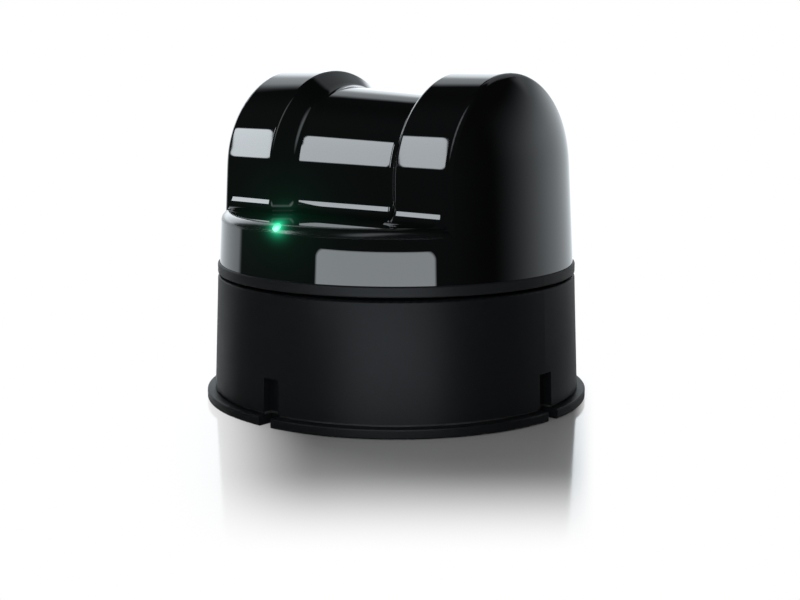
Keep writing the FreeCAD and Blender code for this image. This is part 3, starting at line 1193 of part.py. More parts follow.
PIECES = {
    "base_plate": base_plate(),
    "base_gasket": base_gasket(),
    "base_housing": base_housing(),
    "base_screws": base_screws(),
    "main_board": main_board(),
    "main_board_screws": main_board_screws(),
    "main_board_chips": main_board_chips(),
    "main_board_capacitors": main_board_capacitors(),
    "io_socket": io_socket(),
    "io_contacts": io_contacts(),
    "encoder_sensor": encoder_sensor(),
    "link_emitter": link_emitter(),
    "stator_core": stator_core(),
    "stator_windings": stator_windings(),
    "coil_carrier": coil_carrier(),
    "lower_ferrite": ferrite(Z_LOWER_FERRITE),
    "lower_power_coil": power_coil(Z_LOWER_FERRITE + FERRITE_THICKNESS),
    "spindle_bearing_outer_rings": spindle_bearing_outer_rings(),
    "bearing_spacer": bearing_spacer(),
    "spindle_bearing_inner_rings": spindle_bearing_inner_rings(),
    "spindle": spindle(),
    "spindle_clip": spindle_clip(),
    "rotor_yoke": rotor_yoke(),
    "rotor_magnets": rotor_magnets(),
    "encoder_disc": encoder_disc(),
    "upper_ferrite": ferrite(Z_TABLE - FERRITE_THICKNESS),
    "upper_power_coil": power_coil(Z_UPPER_COIL),
    "turntable": turntable(),
    "head_shell": head_shell(),
    "shell_screws": shell_screws(),
    "rotor_board": rotor_board(),
    "rotor_board_chips": rotor_board_chips(),
    "link_receiver": link_receiver(),
    "status_led": status_led(),
    "status_light_pipe": light_pipe(LIGHT_PIPE_RADIUS, LIGHT_PIPE_PROUD),
    "optics_frame": optics_frame(),
    "frame_screws": frame_screws(),
    "optics_block": optics_block(),
    "optics_screws": optics_screws(),
    "receive_lens": lens(RECEIVE_LENS_RADIUS, RECEIVE_OFFSET),
    "transmit_lens": lens(TRANSMIT_LENS_RADIUS, TRANSMIT_OFFSET),
    "ranging_board": ranging_board(),
    "laser_diode": laser_diode(),
    "photodetector": photodetector(),
    "ranging_flex": ranging_flex(),
    "mirror_motor_case": mirror_motor_case(),
    "mirror_motor_cap": mirror_motor_cap(),
    "motor_screws": motor_screws(),
    "mirror_stator_core": mirror_stator_core(),
    "mirror_stator_windings": mirror_stator_windings(),
    "mirror_bearing_outer_rings": mirror_bearing_outer_rings(),
    "motor_flex": motor_flex(),
    "mirror_bearing_inner_rings": mirror_bearing_inner_rings(),
    "mirror_shaft": mirror_shaft(),
    "mirror_holder": mirror_holder(),
    "mirror_glass": mirror_glass(),
    "mirror_magnet": mirror_magnet(),
}

os.makedirs("parts", exist_ok=True)
for name, shape in PIECES.items():
    shape.exportStep("parts/" + name + ".step")
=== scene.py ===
import json
from math import cos, radians, sin, tan

import bpy
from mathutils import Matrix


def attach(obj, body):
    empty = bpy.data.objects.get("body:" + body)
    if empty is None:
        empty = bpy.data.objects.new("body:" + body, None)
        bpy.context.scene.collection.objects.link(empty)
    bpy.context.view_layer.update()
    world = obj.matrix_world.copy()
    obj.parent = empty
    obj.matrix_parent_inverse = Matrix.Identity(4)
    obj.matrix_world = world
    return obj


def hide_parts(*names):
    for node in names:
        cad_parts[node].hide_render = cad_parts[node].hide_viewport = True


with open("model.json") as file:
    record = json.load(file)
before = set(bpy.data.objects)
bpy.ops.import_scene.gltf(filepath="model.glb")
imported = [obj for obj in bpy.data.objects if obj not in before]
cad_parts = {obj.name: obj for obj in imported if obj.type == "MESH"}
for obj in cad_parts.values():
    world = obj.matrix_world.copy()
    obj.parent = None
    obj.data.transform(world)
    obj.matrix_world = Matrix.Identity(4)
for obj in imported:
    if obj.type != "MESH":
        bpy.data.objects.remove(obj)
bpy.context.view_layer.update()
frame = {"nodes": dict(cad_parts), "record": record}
scene = bpy.context.scene
bpy.ops.object.select_all(action="DESELECT")

# Lengths are in metres and angles in degrees. The base's underside is at the origin, and the sensor's
# front is at -Y. Two numbers in brackets are the ends of a range, or the levels at its ends.
MICRON = 0.000001
X_AXIS, Y_AXIS, Z_AXIS = range(3)
HEAD_MIDDLE = (0.0, 0.0, 0.045)
RISING = (0.0, 1.0)
FALLING = (1.0, 0.0)
BLACK = (0.0, 0.0, 0.0)
WHITE = (1.0, 1.0, 1.0)
COOL_WHITE = (0.885, 0.952, 1.0)

# The photograph's view. The lens and sensor are in millimetres.
CAMERA_PLACE = (0.18061, -0.21910, 0.06713)
CAMERA_TURN = 39.5
CAMERA_TILT = 9.735
CAMERA_LENS = 65.30
CAMERA_SENSOR = 36.0
CAMERA_SHIFT = 0.0046
CAMERA_NEAREST = 0.01

# The head's turned skin: the lean of its wall and a radius just inside it, the circle its rounded rim is
# swept round, and the ball on top. The rim counts only where it faces the front or rear, by the share of
# its radius along Y. The right-hand end counts beyond a place along X, near the mirror's axis.
WALL_LEAN = 3.2
WALL_INSIDE = 0.0332
RIM_CIRCLE = 0.032344
RIM_HEIGHT = 0.0348
RIM_ROUND = 0.0018
RIM_TOLERANCE = 0.00005
RIM_FACING_SHARE = 0.6
BALL_HEIGHT = 0.044
BALL_RADIUS = 0.03358
END_FACE_INSIDE = 0.026
END_FACE_EDGE = (0.0180, 0.0186)

# The status light and the size of its bright core. Then the glow painted round it on the shell: the
# middle, the way it is thrown, the reach and strength of its near and far parts, the heights over its middle
# where the ledge gives way to the wall, and the share of a length along the throw that counts on each.
STATUS_LIGHT = (0.0002, -0.0345, 0.0362)
STATUS_LIGHT_CORE = (0.0005, 0.0014)
GLOW_MIDDLE = (0.0006, -0.0343, 0.0361)
GLOW_THROW = 39.5
GLOW_NEAR_REACH = 0.00062
GLOW_NEAR_LEVEL = 2.2
GLOW_FAR_REACH = 0.006
GLOW_FAR_LEVEL = 0.011
PAINTED_GLOW_GREEN = (0.03, 1.0, 0.46)
LEDGE_TO_WALL = (0.0005, 0.0018)
LEDGE_AND_WALL_SHARES = (0.18, 0.12)

# Surface effects: how fine each pattern is, how much of it counts, and the span of shade over which the
# roughness changes.
PEBBLE_SMOOTHNESS = 0.6
SPECK_DETAIL = 3.0
SPECK_SHARE = 0.5
CLOUD_DETAIL = 4.0
CLOUD_LEVEL = 0.75
RING_SHARE = 0.6
SHADE_SPAN = (0.2, 0.8)

# Wound parts: the wire and its pitch, turns, layers, half sizes of the wound block across and up its
# tooth's section, and the round of the block's corners. An inner corner keeps at least a share of the wire.
STATOR_COIL = dict(wire=0.00041, pitch=0.00042, turns=12, layers=3,
                   across=0.00245, tall=0.0043, corner=0.0009)
STATOR_TEETH = 12
STATOR_COIL_START = 0.01210
STATOR_MIDDLE = 0.0133
MOTOR_COIL = dict(wire=0.00027, pitch=0.00028, turns=4, layers=2,
                  across=0.00145, tall=0.00313, corner=0.0004)
MOTOR_TEETH = 6
MOTOR_COIL_START = 0.00529
MOTOR_MIDDLE = 0.02243
MIRROR_AXIS = 0.044
POWER_COIL_WIRE = 0.00048
POWER_COIL_PITCH = 0.0005
POWER_COIL_TURNS = 14
POWER_COIL_LAYERS = 2
POWER_COIL_INSIDE = 0.01085
LOWER_COIL_FOOT = 0.0207
UPPER_COIL_FOOT = 0.0227
WIRE_SIDES = 6
LEAST_CORNER = 0.6
STEPS_ROUND_TOOTH = 12
STEPS_ROUND_COIL = 72
SAME_POINT = 0.000001
WIRE_SMOOTH_ANGLE = 65.0

# Lamps, with their power in watts, and the even light that matt surfaces get.
LAMP_DISTANCE = 0.90
LAMPS = {
    "rear_key": dict(azimuth=-125.0, elevation=48.0, size=0.6, power=7.0),
    "front_fill": dict(azimuth=36.0, elevation=12.0, size=0.5, power=4.0),
}
FILL_LEVEL = 0.32

# Windows that the shell mirrors: the left and right side of each, as the share of the ray that runs
# along X, and its strength. There is one for each tower and one for the drum. Their heights are angles
# about the X axis, up from the front. The streak is one more, to the right, and soft all over.
WINDOWS = (
    (-0.7178, -0.6970, 11.4),
    (-0.6335, -0.6075, 8.7),
    (-0.5975, -0.5425, 8.9),
)
WINDOW_HEIGHTS = (11.2, 46.0)
WINDOW_CORNER = 0.0026
WINDOW_CORNER_HEIGHT = 5.0
WINDOW_SOFTNESS = 0.25
STREAK_SIDES = (0.05, 0.32)
STREAK_HEIGHTS = (26.0, 73.0)
STREAK_CORNER_HEIGHT = 18.0
STREAK_LEVEL = 1.8

# The backdrop that the shell mirrors, by direction. It is even at its foot. Above that it stands behind
# only, and has a grey and a white part to the left, a plain part in the middle that begins past the top,
# and a part to the right and lower down that fades upwards. The room is dim, a little less so in front.
BACKDROP_MIDDLE = -140.5
BACKDROP_RIGHT_EDGE = (-118.0, -60.0)
BACKDROP_LEFT_EDGE = (58.0, 63.5)
BACKDROP_FOOT = (2.0, 9.0)
BACKDROP_LEVEL = 1.15
BEHIND_EDGE = (-0.12, 0.0)
LEFT_PART_EDGE = (-0.45, -0.3)
GREY_TOP = (38.5, 44.5)
GREY_SIDE = (-0.69, -0.64)
GREY_LEVELS = (1.4, 1.05)
WHITE_TOP = (24.0, 33.0)
WHITE_LEVELS = (1.3, 0.0)
MIDDLE_EDGE = (110.0, 116.0)
MIDDLE_LEVELS = (0.0, 0.55)
RIGHT_PART_EDGE = (0.2, 0.36)
RIGHT_PART_LOW = (18.0, 30.0)
RIGHT_FADE = (8.0, 36.0)
RIGHT_LEVELS = (1.15, 0.0)
ROOM_EDGE = (-0.2, 0.4)
ROOM_LEVELS = (0.012, 0.055)

# The bowed card before the sensor: a wide upper part and a narrower lower one.
CARD_FACETS = 180
CARD_RADIUS = 0.060
CARD_TOP = 0.03205
CARD_MIDDLE = 0.02
CARD_SOFTNESS = 0.3
CARD_CORNER_HEIGHT = 0.0018
UPPER_CARD = dict(sides=(3.2, 56.5), corner=3.8, heights=(CARD_MIDDLE, CARD_TOP), level=5.5)
LOWER_CARD = dict(sides=(17.0, 57.0), corner=8.0, heights=(-CARD_MIDDLE, CARD_MIDDLE), level=6.4)

# The floor, and its shaded part on the camera's side. The shade's left and right sides are lines that
# meet at this distance from the sensor, so they are slopes. Its front is a distance from the sensor's
# middle towards the camera, and its rear one away from it.
FLOOR_FACETS = 96
FLOOR_RADIUS = 0.21
FLOOR_GAP = 0.0001
FLOOR_GREY = (0.44, 0.44, 0.44)
FLOOR_ROUGHNESS = 0.1
FLOOR_IOR = 1.6
SHADE_LINES_MEET = 0.2955
SHADE_LEFT = (-0.163, -0.052)
SHADE_RIGHT = (0.119, 0.136)
SHADE_FRONT = (0.0543, 0.0958)
SHADE_REAR = (-0.005, 0.025)


def in_radians(angles):
    return tuple(radians(angle) for angle in angles)


# Shader nodes. An operand is a number or an output socket.
def node(tree, kind, **settings):
    made = tree.nodes.new(kind)
    for key, value in settings.items():
        setattr(made, key, value)
    return made


def link(tree, source, target):
    tree.links.new(source, target)


def calc(tree, operation, *operands, clamp=False):
    made = node(tree, "ShaderNodeMath", operation=operation, use_clamp=clamp)
    for socket, operand in zip(made.inputs, operands):
        if isinstance(operand, (int, float)):
            socket.default_value = operand
        else:
            link(tree, operand, socket)
    return made.outputs[0]


def hypotenuse(tree, first, second):
    square = calc(tree, "ADD", calc(tree, "MULTIPLY", first, first), calc(tree, "MULTIPLY", second, second))
    return calc(tree, "SQRT", square)


def product(tree, first, *others):
    total = first
    for other in others:
        total = calc(tree, "MULTIPLY", total, other)
    return total


def ramp(tree, value, ends, levels):
    """Runs smoothly from the first level to the second while the value goes from end to end."""
    made = node(tree, "ShaderNodeMapRange", clamp=True, interpolation_type="SMOOTHSTEP")
    link(tree, value, made.inputs["Value"])
    for label, number in zip(("From Min", "From Max", "To Min", "To Max"), (*ends, *levels)):
        made.inputs[label].default_value = number
    return made.outputs["Result"]


def blend(tree, mask, first, second):
    """The first value where the mask is 0 and the second where it is 1."""
    made = node(tree, "ShaderNodeMix", data_type="FLOAT")
    link(tree, mask, made.inputs["Factor"])
    for label, value in (("A", first), ("B", second)):
        if isinstance(value, float):
            made.inputs[label].default_value = value
        else:
            link(tree, value, made.inputs[label])
    return made.outputs["Result"]


def blend_colours(tree, mask, dark, light):
    made = node(tree, "ShaderNodeMix", data_type="RGBA")
    link(tree, mask, made.inputs["Factor"])
    made.inputs["A"].default_value = (*dark, 1.0)
    made.inputs["B"].default_value = (*light, 1.0)
    return made.outputs["Result"]


def blend_vectors(tree, mask, first, second):
    made = node(tree, "ShaderNodeMix", data_type="VECTOR")
    link(tree, mask, made.inputs["Factor"])
    for label, value in (("A", first), ("B", second)):
        socket = next(s for s in made.inputs if s.name == label and s.type == "VECTOR")
        link(tree, value, socket)
    return next(s for s in made.outputs if s.type == "VECTOR")


def vector(tree, x, y, z):
    made = node(tree, "ShaderNodeCombineXYZ")
    for socket, value in zip(made.inputs, (x, y, z)):
        link(tree, value, socket)
    return made.outputs[0]


def split(tree, source):
    made = node(tree, "ShaderNodeSeparateXYZ")
    link(tree, source, made.inputs[0])
    return made.outputs


def length(tree, source):
    made = node(tree, "ShaderNodeVectorMath", operation="LENGTH")
    link(tree, source, made.inputs[0])
    return made.outputs["Value"]


def turned_round(tree, source, angle):
    """The vector turned about the upright axis."""
    made = node(tree, "ShaderNodeVectorRotate", rotation_type="Z_AXIS")
    link(tree, source, made.inputs["Vector"])
    made.inputs["Angle"].default_value = radians(angle)
    return made.outputs[0]


def own_place(tree):
    return node(tree, "ShaderNodeTexCoord").outputs["Object"]


# Surface effects that several finishes share.
def effect_group(name, inputs, outputs):
    group = bpy.data.node_groups.new(name, "ShaderNodeTree")
    for label, value in inputs.items():
        socket = group.interface.new_socket(label, in_out="INPUT", socket_type="NodeSocketFloat")
        socket.default_value = value
    for label in outputs:
        group.interface.new_socket(label, in_out="OUTPUT", socket_type="NodeSocketFloat")
    return group, group.nodes.new("NodeGroupInput").outputs, group.nodes.new("NodeGroupOutput").inputs


def place_effect(tree, group, **values):
    made = node(tree, "ShaderNodeGroup", node_tree=group)
    for label, value in values.items():
        made.inputs[label.replace("_", " ")].default_value = value
    return made


def noise(group, place, scale, **values):
    made = node(group, "ShaderNodeTexNoise")
    link(group, place, made.inputs["Vector"])
    link(group, scale, made.inputs["Scale"])
    for label, value in values.items():
        made.inputs[label].default_value = value
    return made.outputs["Fac"]


def make_moulded_grain():
    """Fine pebble of a moulded or painted skin, with slow cloudy shading over it."""
    group, given, out = effect_group("moulded_grain", {"Fine": 4000.0, "Broad": 60.0}, ("Height", "Shade"))
    place = own_place(group)
    pebble = node(group, "ShaderNodeTexVoronoi", feature="SMOOTH_F1")
    pebble.inputs["Smoothness"].default_value = PEBBLE_SMOOTHNESS
    link(group, place, pebble.inputs["Vector"])
    link(group, given["Fine"], pebble.inputs["Scale"])
    speck = noise(group, place, given["Fine"], Detail=SPECK_DETAIL)
    cloud = noise(group, place, given["Broad"], Detail=CLOUD_DETAIL)
    shade = calc(group, "ADD", cloud, calc(group, "MULTIPLY", speck, SPECK_SHARE))
    link(group, calc(group, "ADD", pebble.outputs["Distance"], speck), out["Height"])
    link(group, calc(group, "MULTIPLY", shade, CLOUD_LEVEL, clamp=True), out["Shade"])
    return group


def make_turned_lines():
    """Rings left by a lathe, round the sensor's upright axis, broken up a little."""
    group, given, out = effect_group("turned_lines", {"Fine": 9000.0, "Broad": 300.0}, ("Height", "Shade"))
    place = own_place(group)
    x, y, z = split(group, place)
    ring = node(group, "ShaderNodeTexNoise", noise_dimensions="1D")
    link(group, calc(group, "ADD", hypotenuse(group, x, y), z), ring.inputs["W"])
    link(group, given["Fine"], ring.inputs["Scale"])
    patch = noise(group, place, given["Broad"])
    shade = calc(group, "ADD", calc(group, "MULTIPLY", ring.outputs["Fac"], RING_SHARE),
                 calc(group, "MULTIPLY", patch, 1.0 - RING_SHARE))
    link(group, ring.outputs["Fac"], out["Height"])
    link(group, shade, out["Shade"])
    return group


moulded_grain = make_moulded_grain()
turned_lines = make_turned_lines()


# Finishes.
def new_finish(name):
    finish = bpy.data.materials.new(name)
    finish.use_nodes = True
    tree = finish.node_tree
    return finish, tree, tree.nodes["Principled BSDF"]


def grained(name, dark, light, rough, fine, depth, broad=60.0, metallic=0.0, group=moulded_grain,
            specular=0.5):
    """A moulded, painted, cast or machined finish: colour, roughness and relief from one effect."""
    finish, tree, shader = new_finish(name)
    effect = place_effect(tree, group, Fine=fine, Broad=broad).outputs
    link(tree, blend_colours(tree, effect["Shade"], dark, light), shader.inputs["Base Color"])
    link(tree, ramp(tree, effect["Shade"], SHADE_SPAN, rough), shader.inputs["Roughness"])
    shader.inputs["Metallic"].default_value = metallic
    shader.inputs["Specular IOR Level"].default_value = specular
    bump = node(tree, "ShaderNodeBump")
    bump.inputs["Strength"].default_value = 1.0
    bump.inputs["Distance"].default_value = depth
    link(tree, effect["Height"], bump.inputs["Height"])
    link(tree, bump.outputs["Normal"], shader.inputs["Normal"])
    return finish


def exact_skin(tree):
    """True normals of the turned skirt, rim and right-hand end, in place of those of their long facets,
    and a mask of the rim."""
    x, y, z = split(tree, own_place(tree))
    radius = hypotenuse(tree, x, y)
    lean = radians(WALL_LEAN)
    rim_start = RIM_HEIGHT + RIM_ROUND * sin(lean)
    above = calc(tree, "GREATER_THAN", z, rim_start)

    wall = vector(tree, x, y, calc(tree, "MULTIPLY", radius, tan(lean)))
    on_skirt = product(tree, calc(tree, "GREATER_THAN", radius, WALL_INSIDE),
                       calc(tree, "LESS_THAN", z, rim_start))

    outward = calc(tree, "SUBTRACT", radius, RIM_CIRCLE)
    upward = calc(tree, "SUBTRACT", z, RIM_HEIGHT)
    share = calc(tree, "DIVIDE", outward, radius)
    rim = vector(tree, calc(tree, "MULTIPLY", x, share), calc(tree, "MULTIPLY", y, share), upward)
    off_rim = calc(tree, "ABSOLUTE", calc(tree, "SUBTRACT", hypotenuse(tree, outward, upward), RIM_ROUND))
    facing = calc(tree, "GREATER_THAN", calc(tree, "ABSOLUTE", y),
                  calc(tree, "MULTIPLY", radius, RIM_FACING_SHARE))
    on_rim = product(tree, calc(tree, "LESS_THAN", off_rim, RIM_TOLERANCE),
                     calc(tree, "GREATER_THAN", outward, 0.0), above, facing)

    upward = calc(tree, "SUBTRACT", z, BALL_HEIGHT)
    ball = vector(tree, x, y, upward)
    on_ball = calc(tree, "GREATER_THAN", z, BALL_HEIGHT + BALL_RADIUS * sin(lean))
    off_axis = hypotenuse(tree, y, calc(tree, "MAXIMUM", upward, 0.0))
    on_end = product(tree, above, calc(tree, "GREATER_THAN", x, END_FACE_INSIDE),
                     ramp(tree, off_axis, END_FACE_EDGE, FALLING))

    smooth = blend_vectors(tree, on_rim, blend_vectors(tree, on_ball, wall, ball), rim)
    turned = node(tree, "ShaderNodeVectorTransform", vector_type="NORMAL", convert_from="OBJECT",
                  convert_to="WORLD")
    link(tree, smooth, turned.inputs[0])
    exact = node(tree, "ShaderNodeVectorMath", operation="NORMALIZE")
    link(tree, turned.outputs[0], exact.inputs[0])
    mask = calc(tree, "MAXIMUM", on_skirt, calc(tree, "MAXIMUM", on_rim, on_end))
    faceted = node(tree, "ShaderNodeNewGeometry").outputs["Normal"]
    return blend_vectors(tree, mask, faceted, exact.outputs[0]), on_rim


def painted_status_glow(tree):
    """A painted glow round the status light, over the skirt, inwards along the ledge and up its wall."""
    away = node(tree, "ShaderNodeVectorMath", operation="SUBTRACT")
    link(tree, own_place(tree), away.inputs[0])
    away.inputs[1].default_value = GLOW_MIDDLE
    aside, inwards, up = split(tree, turned_round(tree, away.outputs[0], -GLOW_THROW))
    share = ramp(tree, up, LEDGE_TO_WALL, LEDGE_AND_WALL_SHARES)
    distance = length(tree, vector(tree, aside, calc(tree, "MULTIPLY", inwards, share), up))

    def fading(reach, level):
        shrunk = calc(tree, "DIVIDE", distance, -reach)
        return calc(tree, "MULTIPLY", calc(tree, "EXPONENT", shrunk), level)

    return calc(tree, "ADD", fading(GLOW_NEAR_REACH, GLOW_NEAR_LEVEL), fading(GLOW_FAR_REACH, GLOW_FAR_LEVEL))


def glossy_shell(name, dark, light, polish, rim_rough, fine, broad, ior):
    """Piano-black window plastic that passes the ranging beam, with a glow painted round the status light."""
    finish, tree, shader = new_finish(name)
    shade = place_effect(tree, moulded_grain, Fine=fine, Broad=broad).outputs["Shade"]
    link(tree, blend_colours(tree, shade, dark, light), shader.inputs["Base Color"])
    normal, rim = exact_skin(tree)
    link(tree, blend(tree, rim, ramp(tree, shade, SHADE_SPAN, polish), rim_rough), shader.inputs["Roughness"])
    shader.inputs["IOR"].default_value = ior
    link(tree, normal, shader.inputs["Normal"])
    # The glow round the status light is painted in as emission on the shell.
    link(tree, blend_colours(tree, painted_status_glow(tree), BLACK, PAINTED_GLOW_GREEN), shader.inputs["Emission Color"])
    shader.inputs["Emission Strength"].default_value = 1.0
    return finish


def lit_light_pipe(name, edge_glow, core_glow, edge, core, strength, rough):
    finish, tree, shader = new_finish(name)
    away = node(tree, "ShaderNodeVectorMath", operation="DISTANCE")
    link(tree, own_place(tree), away.inputs[0])
    away.inputs[1].default_value = STATUS_LIGHT
    middle = ramp(tree, away.outputs["Value"], STATUS_LIGHT_CORE, FALLING)
    link(tree, blend_colours(tree, middle, edge_glow, core_glow), shader.inputs["Emission Color"])
    link(tree, blend_colours(tree, middle, edge, core), shader.inputs["Base Color"])
    shader.inputs["Emission Strength"].default_value = strength
    shader.inputs["Roughness"].default_value = rough
    return finish


def clear_glass(name, tint, rough, fine=700.0, broad=90.0, lighten=1.12, clear=0.9, ior=1.52):
    finish, tree, shader = new_finish(name)
    shade = place_effect(tree, moulded_grain, Fine=fine, Broad=broad).outputs["Shade"]
    light = tuple(min(1.0, part * lighten) for part in tint)
    link(tree, blend_colours(tree, shade, tint, light), shader.inputs["Base Color"])
    link(tree, ramp(tree, shade, SHADE_SPAN, rough), shader.inputs["Roughness"])
    shader.inputs["Transmission Weight"].default_value = clear
    shader.inputs["IOR"].default_value = ior
    return finish


METAL = dict(metallic=1.0)
TURNED = dict(metallic=1.0, group=turned_lines)

FINISHES = {
    "base_metal": grained(
        "charcoal_coat", dark=(0.0026, 0.0029, 0.0034), light=(0.0042, 0.0046, 0.0053),
        rough=(0.42, 0.52), fine=5200.0, depth=12 * MICRON, specular=0.07),
    "turntable_black": grained(
        "black_coat", dark=(0.0058, 0.0064, 0.0072), light=(0.0088, 0.0095, 0.0106),
        rough=(0.42, 0.52), fine=5600.0, depth=12 * MICRON, specular=0.075),
    "gasket_rubber": grained(
        "soft_rubber", dark=(0.006, 0.006, 0.006), light=(0.012, 0.012, 0.012),
        rough=(0.7, 0.85), fine=2600.0, depth=30 * MICRON),
    "shell_gloss": glossy_shell(
        "glossy_black_shell", dark=(0.0016, 0.0017, 0.0018), light=(0.0022, 0.0023, 0.0025),
        polish=(0.008, 0.02), rim_rough=0.2, fine=900.0, broad=45.0, ior=1.5),
    "screw_steel": grained(
        "zinc_screw", dark=(0.34, 0.34, 0.35), light=(0.52, 0.52, 0.53),
        rough=(0.24, 0.4), fine=7000.0, depth=6 * MICRON, broad=400.0, **TURNED),
    "bearing_steel": grained(
        "ground_bearing", dark=(0.5, 0.5, 0.51), light=(0.66, 0.66, 0.67),
        rough=(0.12, 0.22), fine=14000.0, depth=3 * MICRON, broad=500.0, **TURNED),
    "motor_steel": grained(
        "stamped_steel", dark=(0.3, 0.3, 0.31), light=(0.45, 0.45, 0.46),
        rough=(0.3, 0.46), fine=3800.0, depth=10 * MICRON, broad=160.0, **METAL),
    "spindle_metal": grained(
        "turned_spindle", dark=(0.48, 0.48, 0.49), light=(0.63, 0.63, 0.64),
        rough=(0.2, 0.34), fine=9000.0, depth=5 * MICRON, broad=300.0, **TURNED),
    "frame_metal": grained(
        "cast_frame", dark=(0.2, 0.205, 0.21), light=(0.32, 0.325, 0.33),
        rough=(0.38, 0.55), fine=2400.0, depth=30 * MICRON, broad=120.0, **METAL),
    "magnet_plating": grained(
        "nickel_plate", dark=(0.5, 0.48, 0.45), light=(0.62, 0.6, 0.56),
        rough=(0.16, 0.28), fine=3000.0, depth=5 * MICRON, broad=200.0, **METAL),
    "winding_copper": grained(
        "enamelled_copper", dark=(0.5, 0.19, 0.07), light=(0.72, 0.3, 0.12),
        rough=(0.22, 0.38), fine=4200.0, depth=60 * MICRON, broad=260.0, **TURNED),
    "ferrite_ceramic": grained(
        "pressed_ferrite", dark=(0.018, 0.017, 0.017), light=(0.035, 0.034, 0.033),
        rough=(0.5, 0.7), fine=2600.0, depth=20 * MICRON),
    "board_laminate": grained(
        "green_laminate", dark=(0.006, 0.045, 0.02), light=(0.012, 0.08, 0.035),
        rough=(0.3, 0.45), fine=1800.0, depth=10 * MICRON, broad=240.0),
    "chip_black": grained(
        "moulded_chip", dark=(0.012, 0.012, 0.013), light=(0.022, 0.022, 0.023),
        rough=(0.45, 0.62), fine=5200.0, depth=10 * MICRON),
    "capacitor_can": grained(
        "drawn_can", dark=(0.55, 0.55, 0.56), light=(0.7, 0.7, 0.71),
        rough=(0.22, 0.34), fine=6000.0, depth=4 * MICRON, broad=300.0, **TURNED),
    "socket_plastic": grained(
        "socket_moulding", dark=(0.012, 0.012, 0.012), light=(0.02, 0.02, 0.02),
        rough=(0.36, 0.52), fine=4200.0, depth=10 * MICRON),
    "contact_gold": grained(
        "plated_contact", dark=(0.72, 0.45, 0.12), light=(0.88, 0.6, 0.22),
        rough=(0.16, 0.28), fine=3600.0, depth=4 * MICRON, broad=260.0, **METAL),
    "carrier_plastic": grained(
        "coil_moulding", dark=(0.018, 0.018, 0.019), light=(0.03, 0.03, 0.031),
        rough=(0.45, 0.6), fine=3600.0, depth=12 * MICRON),
    "disc_metal": grained(
        "etched_disc", dark=(0.42, 0.42, 0.43), light=(0.58, 0.58, 0.59),
        rough=(0.2, 0.34), fine=8000.0, depth=4 * MICRON, broad=320.0, **TURNED),
    "link_lens": clear_glass("link_window", tint=(0.75, 0.78, 0.8), rough=(0.05, 0.12)),
    "led_body": clear_glass("led_resin", tint=(0.8, 0.86, 0.78), rough=(0.08, 0.18)),
    "light_green": lit_light_pipe(
        "lit_light_pipe", edge_glow=(0.06, 0.8, 0.4), core_glow=(0.46, 1.0, 0.78),
        edge=(0.02, 0.3, 0.14), core=(0.1, 0.6, 0.35), strength=1.05, rough=0.2),
    "lens_glass": clear_glass("coated_lens", tint=(0.82, 0.8, 0.9), rough=(0.01, 0.03)),
    "flex_amber": grained(
        "amber_film", dark=(0.36, 0.15, 0.02), light=(0.5, 0.23, 0.04),
        rough=(0.3, 0.42), fine=1600.0, depth=10 * MICRON, broad=200.0),
    "mirror_face": grained(
        "polished_mirror", dark=(0.86, 0.86, 0.87), light=(0.92, 0.92, 0.93),
        rough=(0.01, 0.03), fine=600.0, depth=0.4 * MICRON, broad=120.0, **METAL),
    "detector_metal": grained(
        "detector_can", dark=(0.5, 0.49, 0.46), light=(0.62, 0.61, 0.58),
        rough=(0.2, 0.32), fine=5200.0, depth=4 * MICRON, broad=300.0, **METAL),
}

for subpart in frame["record"]["subparts"]:
    solid = frame["nodes"][subpart["node"]]
    solid.data.materials.clear()
    solid.data.materials.append(FINISHES[subpart["material_slot"]])


# Wound pieces, turn by turn, in place of the plain coil blocks.
def alone(piece):
    bpy.ops.object.select_all(action="DESELECT")
    piece.select_set(True)
    bpy.context.view_layer.objects.active = piece


def wire_section(wire, place):
    """A ring of points round the wire, facing along Y."""
    bpy.ops.object.select_all(action="DESELECT")
    bpy.ops.mesh.primitive_circle_add(vertices=WIRE_SIDES, radius=wire / 2, location=place,
                                      rotation=(radians(90.0), 0.0, 0.0))
    bpy.ops.object.transform_apply(location=True, rotation=True, scale=True)
    return bpy.context.object


def close_and_face_out():
    bpy.ops.object.mode_set(mode="EDIT")
    bpy.ops.mesh.select_all(action="SELECT")
    bpy.ops.mesh.remove_doubles(threshold=SAME_POINT)
    bpy.ops.mesh.fill_holes(sides=0)
    bpy.ops.mesh.normals_make_consistent(inside=False)
    bpy.ops.object.mode_set(mode="OBJECT")


def spread_side(piece, axis, half, distance):
    """Moves the half of the mesh that lies on one side of the middle further out."""
    alone(piece)
    for face in piece.data.polygons:
        face.select = False
    for edge in piece.data.edges:
        edge.select = False
    for point in piece.data.vertices:
        point.select = point.co[axis] * half > 0.0
    shift = [0.0, 0.0, 0.0]
    shift[axis] = half * distance
    bpy.ops.object.mode_set(mode="EDIT")
    bpy.ops.transform.translate(value=shift)
    bpy.ops.object.mode_set(mode="OBJECT")


def wound_layer(wire, pitch, turns, across, tall, corner):
    """One layer of wire round a tooth that points along X: a round helix, drawn out to a rectangle."""
    layer = wire_section(wire, (wire / 2, 0.0, corner))
    half_step = radians(180.0 / STEPS_ROUND_TOOTH)
    bpy.ops.object.mode_set(mode="EDIT")
    bpy.ops.transform.rotate(value=half_step, orient_axis="X", center_override=(0.0, 0.0, 0.0))
    bpy.ops.object.mode_set(mode="OBJECT")
    screw = layer.modifiers.new("turns", "SCREW")
    screw.axis = "X"
    screw.steps = screw.render_steps = STEPS_ROUND_TOOTH
    screw.iterations = turns
    screw.screw_offset = pitch
    bpy.ops.object.modifier_apply(modifier=screw.name)
    close_and_face_out()
    for half in (1.0, -1.0):
        spread_side(layer, Y_AXIS, half, across - corner)
        spread_side(layer, Z_AXIS, half, tall - corner)
    return layer


def joined_piece(parts):
    alone(parts[0])
    for part in parts:
        part.select_set(True)
    bpy.ops.object.join()
    return bpy.context.object


